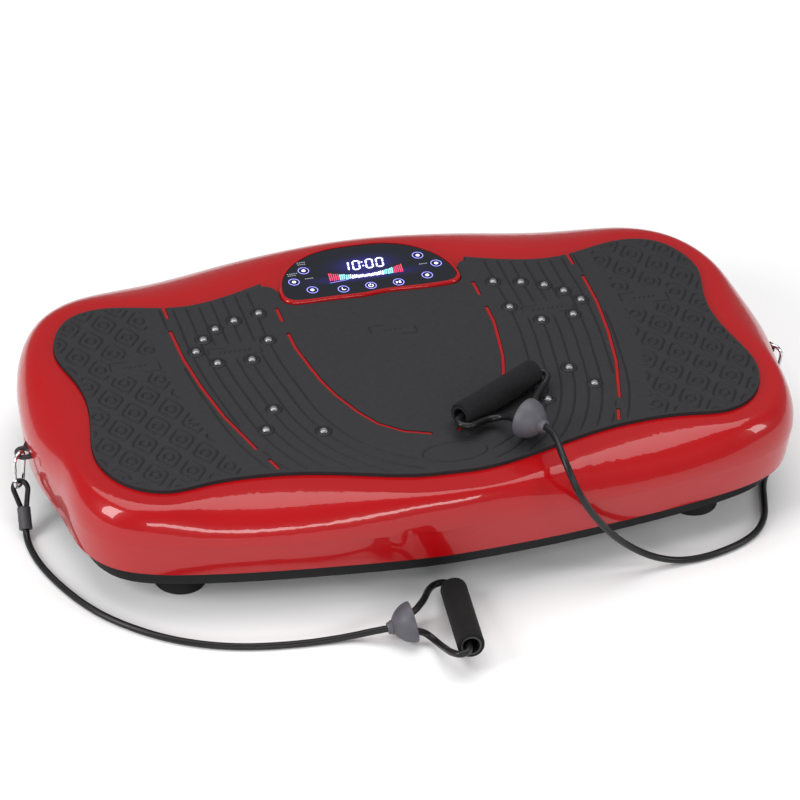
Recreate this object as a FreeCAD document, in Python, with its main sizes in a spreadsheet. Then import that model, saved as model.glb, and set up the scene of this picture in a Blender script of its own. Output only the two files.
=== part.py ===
import FreeCAD
import Part
import Sketcher
import math
import os
import re

# A rocking vibration plate with two resistance bands, in millimetres.
# +X runs to the user's right along the long side, +Y away from the front edge, +Z up.
# The origin is on the floor below the middle of the plate.

V = FreeCAD.Vector
doc = FreeCAD.newDocument("vibration_plate")
sheet = doc.addObject("Spreadsheet::Sheet", "sizes")

SIZES = [
    # the housing
    ("length", 700.0, "overall width of the housing, left end to right end"),
    ("depth", 426.0, "front edge to back edge at the seam"),
    ("tray_bottom", 26.0, "underside of the black base above the floor"),
    ("tray_top", 57.0, "upper edge of the base tray's wall, hidden in the skirt"),
    ("tray_inset", 14.0, "base tray wall inside the seam outline"),
    ("skirt_bottom", 47.0, "lower edge of the red lower shell"),
    ("skirt_inset", 2.5, "lower edge of the lower shell inside its own upper edge"),
    ("seam_step", 1.0, "step that the lower shell is set in by at the seam"),
    ("seam_height", 78.0, "parting line between the two red shells"),
    ("rim_height", 111.5, "flat rim of the upper shell"),
    ("shell_wall", 3.0, "wall of the moulded shells and the tray"),
    ("flange_width", 16.0, "screw flange inside the lower shell"),
    ("boss_radius", 4.5, "screw bosses in the upper shell"),
    ("boss_inset", 13.0, "screw bosses inside the seam outline"),
    # the standing surface
    ("mat_top", 115.0, "top of the rubber mat"),
    ("mat_thickness", 6.0, "thickness of the rubber mat"),
    ("rim_width", 16.0, "flat red rim round the mat"),
    ("rim_width_front", 23.0, "the same rim at the middle of the front edge"),
    ("rim_width_back", 24.0, "the same rim along the back edge beside the panel"),
    ("mat_corner_x", 99.0, "middle of the mat's rounded corner beside the panel"),
    ("mat_corner_y", 118.0, "the same corner, behind the middle"),
    ("mat_corner_radius", 11.5, "the mat's rounded corner beside the panel"),
    ("mat_gap", 0.4, "gap between the mat and what borders it"),
    ("slot_width", 3.7, "slots in the mat that show the red ridges of the upper shell"),
    ("ridge_gap", 0.4, "gap between a red ridge and the wall of its slot"),
    ("ridge_depth", 0.9, "top of the red ridges below the top of the mat"),
    ("stud_radius", 4.0, "steel massage stud"),
    ("stud_height", 2.6, "massage stud above the mat"),
    # the control panel
    ("panel_half", 86.0, "half the width of the panel's raised frame"),
    ("panel_front", 94.0, "front edge of the panel's frame, from the middle"),
    ("panel_reach", 80.5, "front edge to back edge of the panel's frame"),
    ("panel_top", 117.6, "top of the panel's raised frame"),
    ("panel_frame", 2.6, "width of the panel's frame round the glass"),
    ("glass_thickness", 2.0, "panel glass"),
    # the feet
    ("foot_inset_x", 109.0, "suction feet in from each end"),
    ("foot_inset_y", 84.0, "suction feet in from front and back"),
    ("foot_radius", 23.7, "lip of a suction foot"),
    ("foot_screw_radius", 2.5, "shank of a foot's screw"),
    # the rocking drive
    ("pivot_height", 80.0, "axis that the deck rocks about"),
    ("pivot_offset", 150.0, "pivot brackets in front of and behind the middle"),
    ("pin_radius", 5.0, "pivot pin"),
    ("bush_wall", 4.0, "pivot bush"),
    ("running_gap", 0.05, "radial clearance of shafts and pins that turn"),
    ("shaft_height", 58.0, "axis of the crankshaft and of the motor"),
    ("shaft_radius", 6.0, "crankshaft"),
    ("shaft_length", 156.0, "crankshaft, end to end"),
    ("eccentricity", 1.3, "throw of each eccentric"),
    ("eccentric_radius", 15.0, "eccentric disc"),
    ("rod_offset", 65.0, "connecting rods to the left and right of the middle"),
    ("rod_thickness", 10.0, "connecting rod"),
    ("rod_wall", 6.0, "ring of the rod's big end"),
    ("rod_centres", 30.0, "big end to small end"),
    ("rod_pin_radius", 4.0, "pin that a rod lifts the deck by"),
    ("rod_eye_gap", 3.4, "open clearance of the rod's small end round its pin"),
    ("block_offset", 42.0, "bearing blocks to the left and right of the middle"),
    ("block_thickness", 12.0, "bearing block"),
    ("block_half", 24.0, "half the width of a bearing block"),
    ("bearing_radius", 14.0, "outside of a ball bearing"),
    ("bearing_width", 8.0, "width of a ball bearing"),
    ("motor_offset", 88.0, "motor axis behind the crankshaft"),
    ("motor_radius", 27.0, "motor can"),
    ("motor_length", 82.0, "motor can"),
    ("motor_shaft_radius", 4.0, "motor shaft"),
    ("crank_pulley_radius", 24.0, "belt seat of the crankshaft's pulley"),
    ("motor_pulley_radius", 10.0, "belt seat of the motor's pulley"),
    ("pulley_width", 12.0, "width of both pulleys"),
    ("flange_lip", 2.0, "pulley flange above the belt seat"),
    ("belt_thickness", 1.6, "drive belt"),
    ("belt_gap", 0.35, "belt above the pulley seats"),
    ("deck_thickness", 3.0, "steel deck plate under the upper shell"),
    ("deck_half_length", 240.0, "half the length of the deck plate"),
    ("deck_half_depth", 128.0, "half the depth of the deck plate"),
    ("ear_thickness", 4.0, "steel ears and lugs"),
    # the bands
    ("band_radius", 3.1, "rubber tube of the resistance band"),
    ("tab_height", 68.0, "middle of the anchor tabs above the floor"),
    ("tab_thickness", 3.0, "anchor tab"),
    ("tab_hole_radius", 4.9, "hole in an anchor tab"),
    ("hook_wire", 1.8, "radius of the snap hook's wire"),
    ("hook_length", 40.0, "snap hook, end to end"),
    ("hook_width", 19.6, "snap hook across its widest part"),
    ("sleeve_radius", 6.0, "crimp sleeve"),
    ("stopper_radius", 18.3, "half-ball stopper"),
    ("stopper_depth", 19.0, "half-ball stopper without its neck"),
    ("grip_radius", 12.0, "foam grip"),
    ("grip_length", 98.0, "foam grip"),
    ("grip_bore", 7.5, "bore of the grip's plastic core"),
    ("core_wall", 1.5, "wall of the grip's plastic core"),
    # mains inlet and switch
    ("inlet_offset", 122.0, "mains inlet to the right of the middle, at the back"),
    ("switch_offset", 168.0, "power switch to the right of the middle, at the back"),
    ("inlet_height", 62.0, "middle of the mains inlet above the floor"),
]

for row, (alias, value, meaning) in enumerate(SIZES, start=1):
    sheet.set("A%d" % row, meaning)
    sheet.set("B%d" % row, str(value))
    sheet.setAlias("B%d" % row, alias)
doc.recompute()
ALIASES = {alias for alias, value, meaning in SIZES}
NODES = []


def size(alias):
    """The present value of a named size."""
    return float(sheet.get(alias))


def bind(obj, **expressions):
    """Bind properties to sheet expressions; bx, by and bz are the placement's base."""
    places = {"bx": "Placement.Base.x", "by": "Placement.Base.y", "bz": "Placement.Base.z"}
    for prop, text in expressions.items():
        full = re.sub(r"[a-z_]+", lambda m: "sizes." + m.group(0) if m.group(0) in ALIASES
                      else m.group(0), str(text))
        obj.setExpression(places.get(prop, prop), full)
    return obj


def node(obj, label):
    """Name a sub-part and put it on the list of what is written out."""
    obj.Label = label
    NODES.append(obj)
    return obj


TURNS = {
    "Z": FreeCAD.Rotation(),
    "X": FreeCAD.Rotation(V(0, 1, 0), 90),
    "Y": FreeCAD.Rotation(V(1, 0, 0), -90),
}


def cylinder(name, along, Radius, Height, bx="0", by="0", bz="0"):
    """A cylinder whose axis leaves its base along X, Y or Z."""
    obj = doc.addObject("Part::Cylinder", name)
    obj.Placement = FreeCAD.Placement(V(), TURNS[along])
    return bind(obj, Radius=Radius, Height=Height, bx=bx, by=by, bz=bz)


def box(name, Length, Width, Height, bx="0", by="0", bz="0"):
    obj = doc.addObject("Part::Box", name)
    return bind(obj, Length=Length, Width=Width, Height=Height, bx=bx, by=by, bz=bz)


def fuse(name, parts):
    obj = doc.addObject("Part::MultiFuse", name)
    obj.Shapes = parts
    return obj


def cut(name, base, tools):
    obj = doc.addObject("Part::Cut", name)
    obj.Base = base
    obj.Tool = tools[0] if len(tools) == 1 else fuse(name + "_tools", tools)
    return obj


def group(name, parts):
    """Several separate solids that share one node."""
    obj = doc.addObject("Part::Compound", name)
    obj.Links = parts
    return obj


def feature(name, shape):
    """A sub-part whose shape is worked out from the sheet in code."""
    obj = doc.addObject("Part::Feature", name)
    obj.Shape = shape
    obj.Placement = shape.Placement
    return obj


def origin_plane(body, role):
    for item in body.Origin.OriginFeatures:
        if item.Role == role:
            return item
    raise ValueError(role)


def outline_sketch(body, role, corners):
    """A closed sketch of straight edges; each corner is a pair of sheet expressions or 0."""
    sketch = body.newObject("Sketcher::SketchObject", body.Name + "_sketch")
    sketch.AttachmentSupport = [(origin_plane(body, role), "")]
    sketch.MapMode = "FlatFace"
    count = len(corners)
    ring = [V(10 * math.cos(6.28 * i / count), 10 * math.sin(6.28 * i / count), 0)
            for i in range(count)]
    for i in range(count):
        sketch.addGeometry(Part.LineSegment(ring[i], ring[(i + 1) % count]), False)
    for i in range(count):
        sketch.addConstraint(Sketcher.Constraint("Coincident", i, 2, (i + 1) % count, 1))
    for i, corner in enumerate(corners):
        for kind, text, axis in (("DistanceX", corner[0], -2), ("DistanceY", corner[1], -1)):
            if text == 0:
                sketch.addConstraint(Sketcher.Constraint("PointOnObject", i, 1, axis))
            else:
                index = sketch.addConstraint(Sketcher.Constraint(kind, -1, 1, i, 1, 10.0))
                bind(sketch, **{"Constraints[%d]" % index: text})
    return sketch


def turned(name, corners):
    """A turned piece: a half profile (radius, height) revolved about Z."""
    body = doc.addObject("PartDesign::Body", name)
    sketch = outline_sketch(body, "XZ_Plane", corners)
    spin = body.newObject("PartDesign::Revolution", name + "_revolution")
    spin.Profile = sketch
    spin.ReferenceAxis = (sketch, ["V_Axis"])
    spin.Angle = 360
    doc.recompute()
    return body


def copies(source, places):
    """The shape of one piece set down at several placements, as one compound."""
    shapes = []
    for place in places:
        shape = source.Shape.copy()
        shape.Placement = place.multiply(source.Shape.Placement)
        shapes.append(shape)
    return Part.makeCompound(shapes)


def aim(position, direction):
    """A placement whose +Z points along a direction."""
    return FreeCAD.Placement(position, FreeCAD.Rotation(V(0, 0, 1), direction))


# ---------------------------------------------------------------- outlines
# Half outlines as fractions of half the length and half the depth, front middle to back middle.

SEAM = [(0, -1), (0.263, -0.977), (0.514, -0.93), (0.751, -0.859), (0.88, -0.77), (0.94, -0.648),
        (0.97, -0.394), (0.997, -0.131), (1, 0.085), (0.986, 0.277), (0.963, 0.451),
        (0.92, 0.601), (0.854, 0.732), (0.763, 0.826), (0.657, 0.869), (0.526, 0.901),
        (0.369, 0.953), (0.183, 0.986), (0, 1)]
RIM = [(0, -0.944), (0.131, -0.925), (0.263, -0.861), (0.394, -0.793), (0.526, -0.751),
       (0.631, -0.754), (0.723, -0.77), (0.814, -0.728), (0.889, -0.606), (0.926, -0.413),
       (0.914, -0.239), (0.894, -0.047), (0.903, 0.127), (0.926, 0.3), (0.911, 0.451),
       (0.854, 0.601), (0.723, 0.676), (0.606, 0.648), (0.5, 0.648), (0.394, 0.685),
       (0.289, 0.746), (0.183, 0.803), (0, 0.84)]
LEVELS = 48


def curve_through(points):
    """A smooth closed curve through points in the XY plane."""
    curve = Part.BSplineCurve()
    curve.interpolate([V(x, y, 0) for x, y in points], PeriodicFlag=True)
    return curve


def full_outline(half):
    """Both halves of an outline at full size, at evenly spaced places along its curve."""
    right = [(x * size("length") / 2, y * size("depth") / 2) for x, y in half]
    left = [(-x, y) for x, y in reversed(right[1:-1])]
    curve = curve_through(right + left)
    wire = Part.Wire([curve.toShape()])
    return [(p.x, p.y) for p in wire.discretize(Number=LEVELS + 1)[:-1]]


def inset(points, distance):
    """Move each point of a closed outline inwards; distance is a number or a function of x, y."""
    moved = []
    count = len(points)
    for i, (x, y) in enumerate(points):
        ahead = points[(i + 1) % count]
        behind = points[i - 1]
        along = V(ahead[0] - behind[0], ahead[1] - behind[1], 0).normalize()
        step = distance(x, y) if callable(distance) else distance
        moved.append((x - along.y * step, y + along.x * step))
    return moved


def mix(first, second, share):
    return [(a[0] + (b[0] - a[0]) * share, a[1] + (b[1] - a[1]) * share)
            for a, b in zip(first, second)]


def level_wire(points, height):
    shape = curve_through(points).toShape()
    shape.translate(V(0, 0, height))
    return Part.Wire([shape])


def loft(sections):
    """A smooth solid through (outline, height) sections."""
    return Part.makeLoft([level_wire(points, height) for points, height in sections], True, False)


def slab(points, low, high):
    face = Part.Face(level_wire(points, low))
    return face.extrude(V(0, 0, high - low))


seam_line = full_outline(SEAM)
rim_line = full_outline(RIM)


def front_share(x, y):
    """1 at the middle of the front edge, fading to 0 towards the front dips."""
    if y > 0:
        return 0.0
    return max(0.0, 1 - (x / (0.27 * size("length"))) ** 2)


def back_share(x, y):
    """1 along the back edge beside the panel, fading to 0 towards the two ends."""
    if y < 0:
        return 0.0
    share = (0.33 - abs(x) / size("length")) / 0.095
    share = min(1.0, max(0.0, share))
    return share * share * (3 - 2 * share)


def rim_band(x, y):
    front = (size("rim_width_front") - size("rim_width")) * front_share(x, y)
    back = (size("rim_width_back") - size("rim_width")) * back_share(x, y)
    return size("rim_width") + front + back


mat_line = inset(rim_line, rim_band)
wall = size("shell_wall")


def shell_sections(shift):
    """The upper shell's sections from the seam over the shoulder to the rim."""
    rise = size("rim_height") - size("seam_height")
    sections = []
    for angle in (0, 25, 50, 70, 90):
        share = 1 - math.cos(math.radians(angle))
        height = size("seam_height") + rise * math.sin(math.radians(angle))
        sections.append((inset(mix(seam_line, rim_line, share), shift), height))
    return sections


# ---------------------------------------------------------------- control panel outline

def panel_outline(margin):
    """The panel's D: a straight front edge, rounded corners and a domed back."""
    half = size("panel_half") + margin
    front = size("panel_front") - margin
    reach = size("panel_reach") + 2 * margin
    right = [(0, 0), (0.45, 0), (0.8, 0.0), (0.93, 0.03), (0.99, 0.1), (1.0, 0.2),
             (0.965, 0.4), (0.86, 0.62), (0.7, 0.8), (0.45, 0.945), (0.2, 0.995), (0, 1)]
    points = [(x * half, front + y * reach) for x, y in right]
    return points + [(-x, y) for x, y in reversed(points[1:-1])]


# ---------------------------------------------------------------- slots of the mat

def ribbon(points, width):
    """A flat band of one width along a line of points."""
    left = []
    right = []
    for i, point in enumerate(points):
        ahead = points[min(i + 1, len(points) - 1)]
        behind_point = points[max(i - 1, 0)]
        along = V(ahead[0] - behind_point[0], ahead[1] - behind_point[1], 0).normalize()
        left.append(V(point[0] - along.y * width / 2, point[1] + along.x * width / 2, 0))
        right.append(V(point[0] + along.y * width / 2, point[1] - along.x * width / 2, 0))
    return Part.Face(Part.makePolygon(left + right[::-1] + left[:1]))


# Slots as shares of half the length and half the depth; each list is one open slot.
SLOTS = [[(0.271, 0.439), (0.271, 0.335)],
         [(0.271, 0.249), (0.27, 0.14), (0.257, 0.0), (0.244, -0.12), (0.225, -0.225),
          (0.19, -0.36), (0.155, -0.455), (0.1, -0.53), (0.032, -0.572)],
         [(0.56, 0.568), (0.56, 0.465)],
         [(0.568, 0.378), (0.565, 0.171), (0.55, -0.045), (0.526, -0.261), (0.481, -0.512)],
         [(0.462, -0.585), (0.448, -0.66)]]


def slot_strips(width, shorter, low, high):
    """Solid strips along every slot of both sides, each end drawn in by one distance."""
    strips = []
    for half_slot in SLOTS:
        for side in (-1, 1):
            points = [V(side * x * size("length") / 2, y * size("depth") / 2, 0)
                      for x, y in half_slot]
            points[0] += (points[1] - points[0]).normalize() * shorter
            points[-1] += (points[-2] - points[-1]).normalize() * shorter
            strip = ribbon([(point.x, point.y) for point in points], width)
            strip = strip.extrude(V(0, 0, high - low))
            strip.translate(V(0, 0, low))
            strips.append(strip)
    return strips


# ---------------------------------------------------------------- upper shell

pocket_floor = size("mat_top") - size("mat_thickness")
outer_top = loft(shell_sections(0))
inner_top = loft([(points, height - (wall if i else 0))
                  for i, (points, height) in enumerate(shell_sections(wall))])
below_pocket = slab(inset(mat_line, -8), size("seam_height") - 1, pocket_floor - wall)
pod = loft([(panel_outline(0.6), size("rim_height") - 4), (panel_outline(0.4), size("mat_top")),
            (panel_outline(0), size("panel_top") - 0.8), (panel_outline(-0.7), size("panel_top"))])
glass_line = panel_outline(-size("panel_frame"))
glass_seat = size("panel_top") - 0.6 - size("glass_thickness")
under_glass = panel_outline(-size("panel_frame") - 3)

boss_line = inset(seam_line, size("boss_inset"))
boss_spots = [boss_line[i] for i in (2, 7, 12, 17, 22, 26, 31, 36, 41, 46)]
screw_hole = 1.5


def boss_cylinders(radius, low, high):
    return [Part.makeCylinder(radius, high - low, V(x, y, low)) for x, y in boss_spots]


shell = outer_top.cut(inner_top.cut(slab(inset(mat_line, -wall), pocket_floor - wall,
                                         size("rim_height") + 1)))


def panel_bay(gap):
    """The bay behind the mat's two rounded corners, where the upper shell stands full height."""
    reach = size("mat_corner_x")
    behind = size("mat_corner_y") - gap
    bay = Part.makeBox(2 * reach, 120, 60, V(-reach, behind, pocket_floor - 6))
    return bay.cut([Part.makeCylinder(size("mat_corner_radius") - gap, 60,
                                      V(side * reach, behind, pocket_floor - 6))
                    for side in (-1, 1)])


mat_pocket = slab(inset(mat_line, -size("mat_gap")), pocket_floor, size("rim_height") + 1)
mat_pocket = mat_pocket.cut(panel_bay(0))
shell = shell.cut(mat_pocket).fuse(pod.common(slab(panel_outline(8), pocket_floor - wall, 200)))
shell = shell.cut(slab(glass_line, glass_seat, 200))
shell = shell.cut(slab(under_glass, pocket_floor - wall - 1, 200))
bosses = Part.makeCompound(boss_cylinders(size("boss_radius"), size("seam_height"),
                                          size("seam_height") + 24)).common(outer_top)
shell = shell.fuse(bosses.Solids)
ridges = slot_strips(size("slot_width") - 2 * size("ridge_gap"), size("ridge_gap"),
                     pocket_floor - wall / 2, size("mat_top") - size("ridge_depth"))
within_mat = slab(mat_line, 0, 200)
shell = shell.fuse([ridge.common(within_mat) for ridge in ridges])
shell = shell.cut(boss_cylinders(screw_hole, size("seam_height") - 1, size("seam_height") + 14))
top_shell = node(feature("top_shell_shape", shell.Solids[0]), "top_shell")

# ---------------------------------------------------------------- lower shell


def skirt_sections(shift):
    """The lower shell's wall: it leans in slightly towards its lower edge."""
    rise = size("seam_height") - size("skirt_bottom")
    levels = ((0, 1.0), (0.35, 0.42), (0.7, 0.08), (1, 0.0))
    return [(inset(seam_line, size("seam_step") + size("skirt_inset") * lean + shift),
             size("skirt_bottom") + rise * share) for share, lean in levels]


skirt = loft(skirt_sections(0)).cut(loft(skirt_sections(wall)))
flange = slab(inset(seam_line, wall - 1), size("seam_height") - wall, size("seam_height"))
flange = flange.cut(slab(inset(seam_line, wall + size("flange_width")), 0, 200))
skirt = skirt.fuse(flange)
skirt = skirt.cut(boss_cylinders(screw_hole + 0.4, 0, 200))

inlet_wide = 21.0
inlet_tall = 16.0
inlet_deep = 16.0
switch_wide = 15.0
switch_tall = 21.0


def back_surface(x, height):
    """How far back the lower shell's outside is at one place on its back face."""
    ray = Part.makeLine(V(x, 0, height), V(x, size("depth"), height))
    hits = skirt.common(ray)
    return max(vertex.Y for vertex in hits.Vertexes)


inlet_face = back_surface(size("inlet_offset"), size("inlet_height"))
switch_face = back_surface(size("switch_offset"), size("inlet_height"))


def centred_box(wide, deep, tall, x, y, z):
    """A box centred in X and Z, running from y towards the back."""
    return Part.makeBox(wide, deep, tall, V(x - wide / 2, y, z - tall / 2))


inlet_hole = centred_box(inlet_wide, 60, inlet_tall, size("inlet_offset"), inlet_face - 30,
                         size("inlet_height"))
switch_hole = centred_box(switch_wide, 60, switch_tall, size("switch_offset"), switch_face - 30,
                          size("inlet_height"))
tab_root_half = 15.0
tab_slots = [Part.makeBox(60, 2 * tab_root_half, size("tab_thickness"),
                          V(side * size("length") / 2 - 30, -tab_root_half - 1,
                            size("tab_height") - size("tab_thickness") / 2))
             for side in (-1, 1)]
skirt = skirt.cut([inlet_hole, switch_hole] + tab_slots)
lower_shell = node(feature("lower_shell_shape", skirt.Solids[0]), "lower_shell")

# Self-tapping screws hold the lower shell up against the upper shell's bosses.
shell_screws = []
for x, y in boss_spots:
    shank = Part.makeCylinder(screw_hole, 12, V(x, y, size("seam_height") - wall))
    head = Part.makeCylinder(3.0, 2.0, V(x, y, size("seam_height") - wall - 2.0))
    shell_screws.append(shank.fuse(head))
node(feature("shell_screws_shape", Part.makeCompound(shell_screws)), "shell_screws")

# ---------------------------------------------------------------- base tray and feet

tray_floor = size("tray_bottom") + wall
tray_outer = loft([(inset(seam_line, size("tray_inset") + 3), size("tray_bottom")),
                   (inset(seam_line, size("tray_inset") + 1), size("tray_bottom") + 7),
                   (inset(seam_line, size("tray_inset")), size("tray_top"))])
tray_inner = loft([(inset(seam_line, size("tray_inset") + 3 + wall), tray_floor),
                   (inset(seam_line, size("tray_inset") + 1 + wall), tray_floor + 7),
                   (inset(seam_line, size("tray_inset") + wall), size("tray_top") + 1)])
tray = tray_outer.cut(tray_inner)
foot_x = size("length") / 2 - size("foot_inset_x")
foot_y = size("depth") / 2 - size("foot_inset_y")
foot_places = [V(x, y, 0) for x in (-foot_x, foot_x) for y in (-foot_y, foot_y)]
tray = tray.cut([Part.makeCylinder(size("foot_screw_radius"), 60, place) for place in foot_places])
rib_tall = 7.0
for offset in (-1, 1):
    rib = Part.makeBox(2.0, size("depth") - 110, rib_tall,
                       V(offset * (foot_x - 55) - 1, -(size("depth") - 110) / 2, tray_floor))
    tray = tray.fuse(rib)
fitting_low = size("inlet_height") - 15
fitting_span = size("switch_offset") - size("inlet_offset") + 40
tray = tray.cut(Part.makeBox(fitting_span, size("depth") / 2, size("depth"),
                             V(size("inlet_offset") - 20, 0, fitting_low)))
base_tray = node(feature("base_tray_shape", tray.Solids[0]), "base_tray")

cup = turned("cup", [("foot_screw_radius", "6"), ("foot_radius - 9", "2.4"),
                     ("foot_radius - 1.2", 0), ("foot_radius", 0), ("foot_radius", "1.2"),
                     ("foot_radius - 5", "8"), ("foot_radius - 8", "13"),
                     ("foot_radius - 8", "tray_bottom"), ("foot_screw_radius", "tray_bottom")])
foot_shape = copies(cup, [FreeCAD.Placement(place, FreeCAD.Rotation()) for place in foot_places])
node(feature("suction_feet_shape", foot_shape), "suction_feet")
pin_head = 2.2
foot_screws = []
for place in foot_places:
    shank = Part.makeCylinder(size("foot_screw_radius"), size("tray_bottom") + wall - 9,
                              place + V(0, 0, 9))
    head = Part.makeCylinder(5.0, pin_head, place + V(0, 0, tray_floor))
    foot_screws.append(shank.fuse(head))
node(feature("foot_screws_shape", Part.makeCompound(foot_screws)), "foot_screws")

# ---------------------------------------------------------------- crankshaft and rods

shaft = node(cylinder("shaft", "X", "shaft_radius", "shaft_length", "-shaft_length / 2", "0",
                      "shaft_height"), "crankshaft")


def pulley(name, label, seat, bore, by):
    """A flanged belt pulley, turned about X in the drive plane."""
    body = turned(name, [(bore, "-pulley_width / 2"), (seat + " + flange_lip", "-pulley_width / 2"),
                         (seat + " + flange_lip", "-pulley_width / 2 + 1.5"),
                         (seat, "-pulley_width / 2 + 1.5"), (seat, "pulley_width / 2 - 1.5"),
                         (seat + " + flange_lip", "pulley_width / 2 - 1.5"),
                         (seat + " + flange_lip", "pulley_width / 2"), (bore, "pulley_width / 2")])
    body.Placement = FreeCAD.Placement(V(), TURNS["X"])
    bind(body, by=by, bz="shaft_height")
    return node(body, label)


pulley("big_pulley", "crank_pulley", "crank_pulley_radius", "shaft_radius", "0")
pulley("small_pulley", "motor_pulley", "motor_pulley_radius", "motor_shaft_radius", "motor_offset")

for side, word in ((-1, "left"), (1, "right")):
    throw = "%d * eccentricity" % side
    start = "%d * rod_offset - rod_thickness / 2 - 1" % side
    disc = cylinder("disc_" + word, "X", "eccentric_radius", "rod_thickness + 2", start, throw,
                    "shaft_height")
    bore = cylinder("disc_bore_" + word, "X", "shaft_radius", "rod_thickness + 4",
                    start + " - 1", "0", "shaft_height")
    node(cut("eccentric_shape_" + word, disc, [bore]), "eccentric_" + word)
    start = "%d * rod_offset - rod_thickness / 2" % side
    ring = cylinder("ring_" + word, "X", "eccentric_radius + rod_wall", "rod_thickness", start,
                    throw, "shaft_height")
    eye = cylinder("eye_" + word, "X", "rod_pin_radius + rod_eye_gap + 3.1", "rod_thickness",
                   start, throw, "shaft_height + rod_centres")
    shank = box("shank_" + word, "rod_thickness", "16", "rod_centres", start, throw + " - 8",
                "shaft_height")
    big_bore = cylinder("big_bore_" + word, "X", "eccentric_radius + running_gap",
                        "rod_thickness + 2", start + " - 1", throw, "shaft_height")
    eye_bore = cylinder("eye_bore_" + word, "X", "rod_pin_radius + rod_eye_gap",
                        "rod_thickness + 2", start + " - 1", throw, "shaft_height + rod_centres")
    blank = fuse("rod_blank_" + word, [ring, shank, eye])
    node(cut("rod_shape_" + word, blank, [big_bore, eye_bore]), "connecting_rod_" + word)

# ---------------------------------------------------------------- bearing blocks

blocks = []
bearings = []
for side in (-1, 1):
    tag = "left" if side < 0 else "right"
    start = "%d * block_offset - block_thickness / 2" % side
    foot = box("block_foot_" + tag, "block_thickness + 20", "2 * block_half", "5",
               start + " - 10", "-block_half", "tray_bottom + shell_wall")
    web = box("block_web_" + tag, "block_thickness", "2 * block_half",
              "shaft_height - tray_bottom - shell_wall", start, "-block_half",
              "tray_bottom + shell_wall")
    crown = cylinder("block_crown_" + tag, "X", "bearing_radius + 5", "block_thickness", start,
                     "0", "shaft_height")
    seat = cylinder("block_seat_" + tag, "X", "bearing_radius", "block_thickness + 2",
                    start + " - 1", "0", "shaft_height")
    blocks.append(cut("block_" + tag, fuse("block_blank_" + tag, [foot, web, crown]), [seat]))
    race = cylinder("race_" + tag, "X", "bearing_radius", "bearing_width",
                    "%d * block_offset - bearing_width / 2" % side, "0", "shaft_height")
    bore = cylinder("race_bore_" + tag, "X", "shaft_radius + running_gap", "bearing_width + 2",
                    "%d * block_offset - bearing_width / 2 - 1" % side, "0", "shaft_height")
    bearings.append(cut("bearing_" + tag, race, [bore]))
node(group("blocks", blocks), "bearing_blocks")
node(group("bearings", bearings), "shaft_bearings")

# ---------------------------------------------------------------- motor and belt

can = cylinder("can", "X", "motor_radius", "motor_length", "pulley_width / 2 + 8", "motor_offset",
               "shaft_height")
boss = cylinder("can_boss", "X", "9", "4", "pulley_width / 2 + 4", "motor_offset", "shaft_height")
can_bore = cylinder("can_bore", "X", "motor_shaft_radius + running_gap", "motor_length + 6",
                    "pulley_width / 2 + 3", "motor_offset", "shaft_height")
node(cut("can_shape", fuse("can_blank", [can, boss]), [can_bore]), "motor_can")
node(cylinder("motor_spindle", "X", "motor_shaft_radius", "motor_length + pulley_width + 4",
              "-pulley_width / 2", "motor_offset", "shaft_height"), "motor_shaft")
face = box("mount_face", "4", "2 * motor_radius + 8", "shaft_height - tray_bottom - shell_wall + 20",
           "pulley_width / 2 + 4", "motor_offset - motor_radius - 4", "tray_bottom + shell_wall")
ledge = box("mount_ledge", "motor_length - 10", "2 * motor_radius + 8", "1.6",
            "pulley_width / 2 + 4", "motor_offset - motor_radius - 4", "tray_bottom + shell_wall")
face_hole = cylinder("mount_hole", "X", "9", "6", "pulley_width / 2 + 3", "motor_offset",
                     "shaft_height")
node(cut("mount_shape", fuse("mount_blank", [face, ledge]), [face_hole]), "motor_bracket")


def belt_outline(extra):
    """The outside of two pulleys and the straight runs between them, in the YZ plane."""
    big = size("crank_pulley_radius") + size("belt_gap") + extra
    small = size("motor_pulley_radius") + size("belt_gap") + extra
    span = size("motor_offset")
    lean = math.asin((big - small) / span)
    top = math.pi / 2 - lean
    high = size("shaft_height")

    def on_big(angle):
        return V(0, big * math.cos(angle), high + big * math.sin(angle))

    def on_small(angle):
        return V(0, span + small * math.cos(angle), high + small * math.sin(angle))

    edges = [Part.Arc(on_big(top), on_big(math.pi), on_big(-top)).toShape(),
             Part.makeLine(on_big(-top), on_small(-top)),
             Part.Arc(on_small(-top), on_small(0), on_small(top)).toShape(),
             Part.makeLine(on_small(top), on_big(top))]
    return Part.Face(Part.Wire(edges))


belt_wide = size("pulley_width") - 4
belt = belt_outline(size("belt_thickness")).extrude(V(belt_wide, 0, 0))
belt = belt.cut(belt_outline(0).extrude(V(belt_wide, 0, 0)))
belt.translate(V(-belt_wide / 2, 0, 0))
node(feature("belt_shape", belt), "drive_belt")

# ---------------------------------------------------------------- pivots of the deck

lug_wide = 24.0
brackets = []
for side, word in ((-1, "front"), (1, "rear")):
    middle = "%d * pivot_offset" % side
    plate = box("pivot_plate_" + word, "50", "40", "4", "-25", middle + " - 20",
                "tray_bottom + shell_wall")
    ears = []
    for ear in (-1, 1):
        near = middle + " + %g * ear_thickness + %g" % (ear * 1.5 - 0.5, ear * 1.2)
        tag = "%s_%d" % (word, ear + 1)
        ears.append(box("ear_web_" + tag, "26", "ear_thickness",
                        "pivot_height - tray_bottom - shell_wall", "-13", near,
                        "tray_bottom + shell_wall"))
        ears.append(cylinder("ear_round_" + tag, "Y", "13", "ear_thickness", "0", near,
                             "pivot_height"))
    hole = cylinder("ear_hole_" + word, "Y", "pin_radius", "40", "0", middle + " - 20",
                    "pivot_height")
    bracket = cut("pivot_bracket_shape_" + word, fuse("pivot_blank_" + word, [plate] + ears),
                  [hole])
    node(bracket, "pivot_bracket_" + word)
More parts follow.
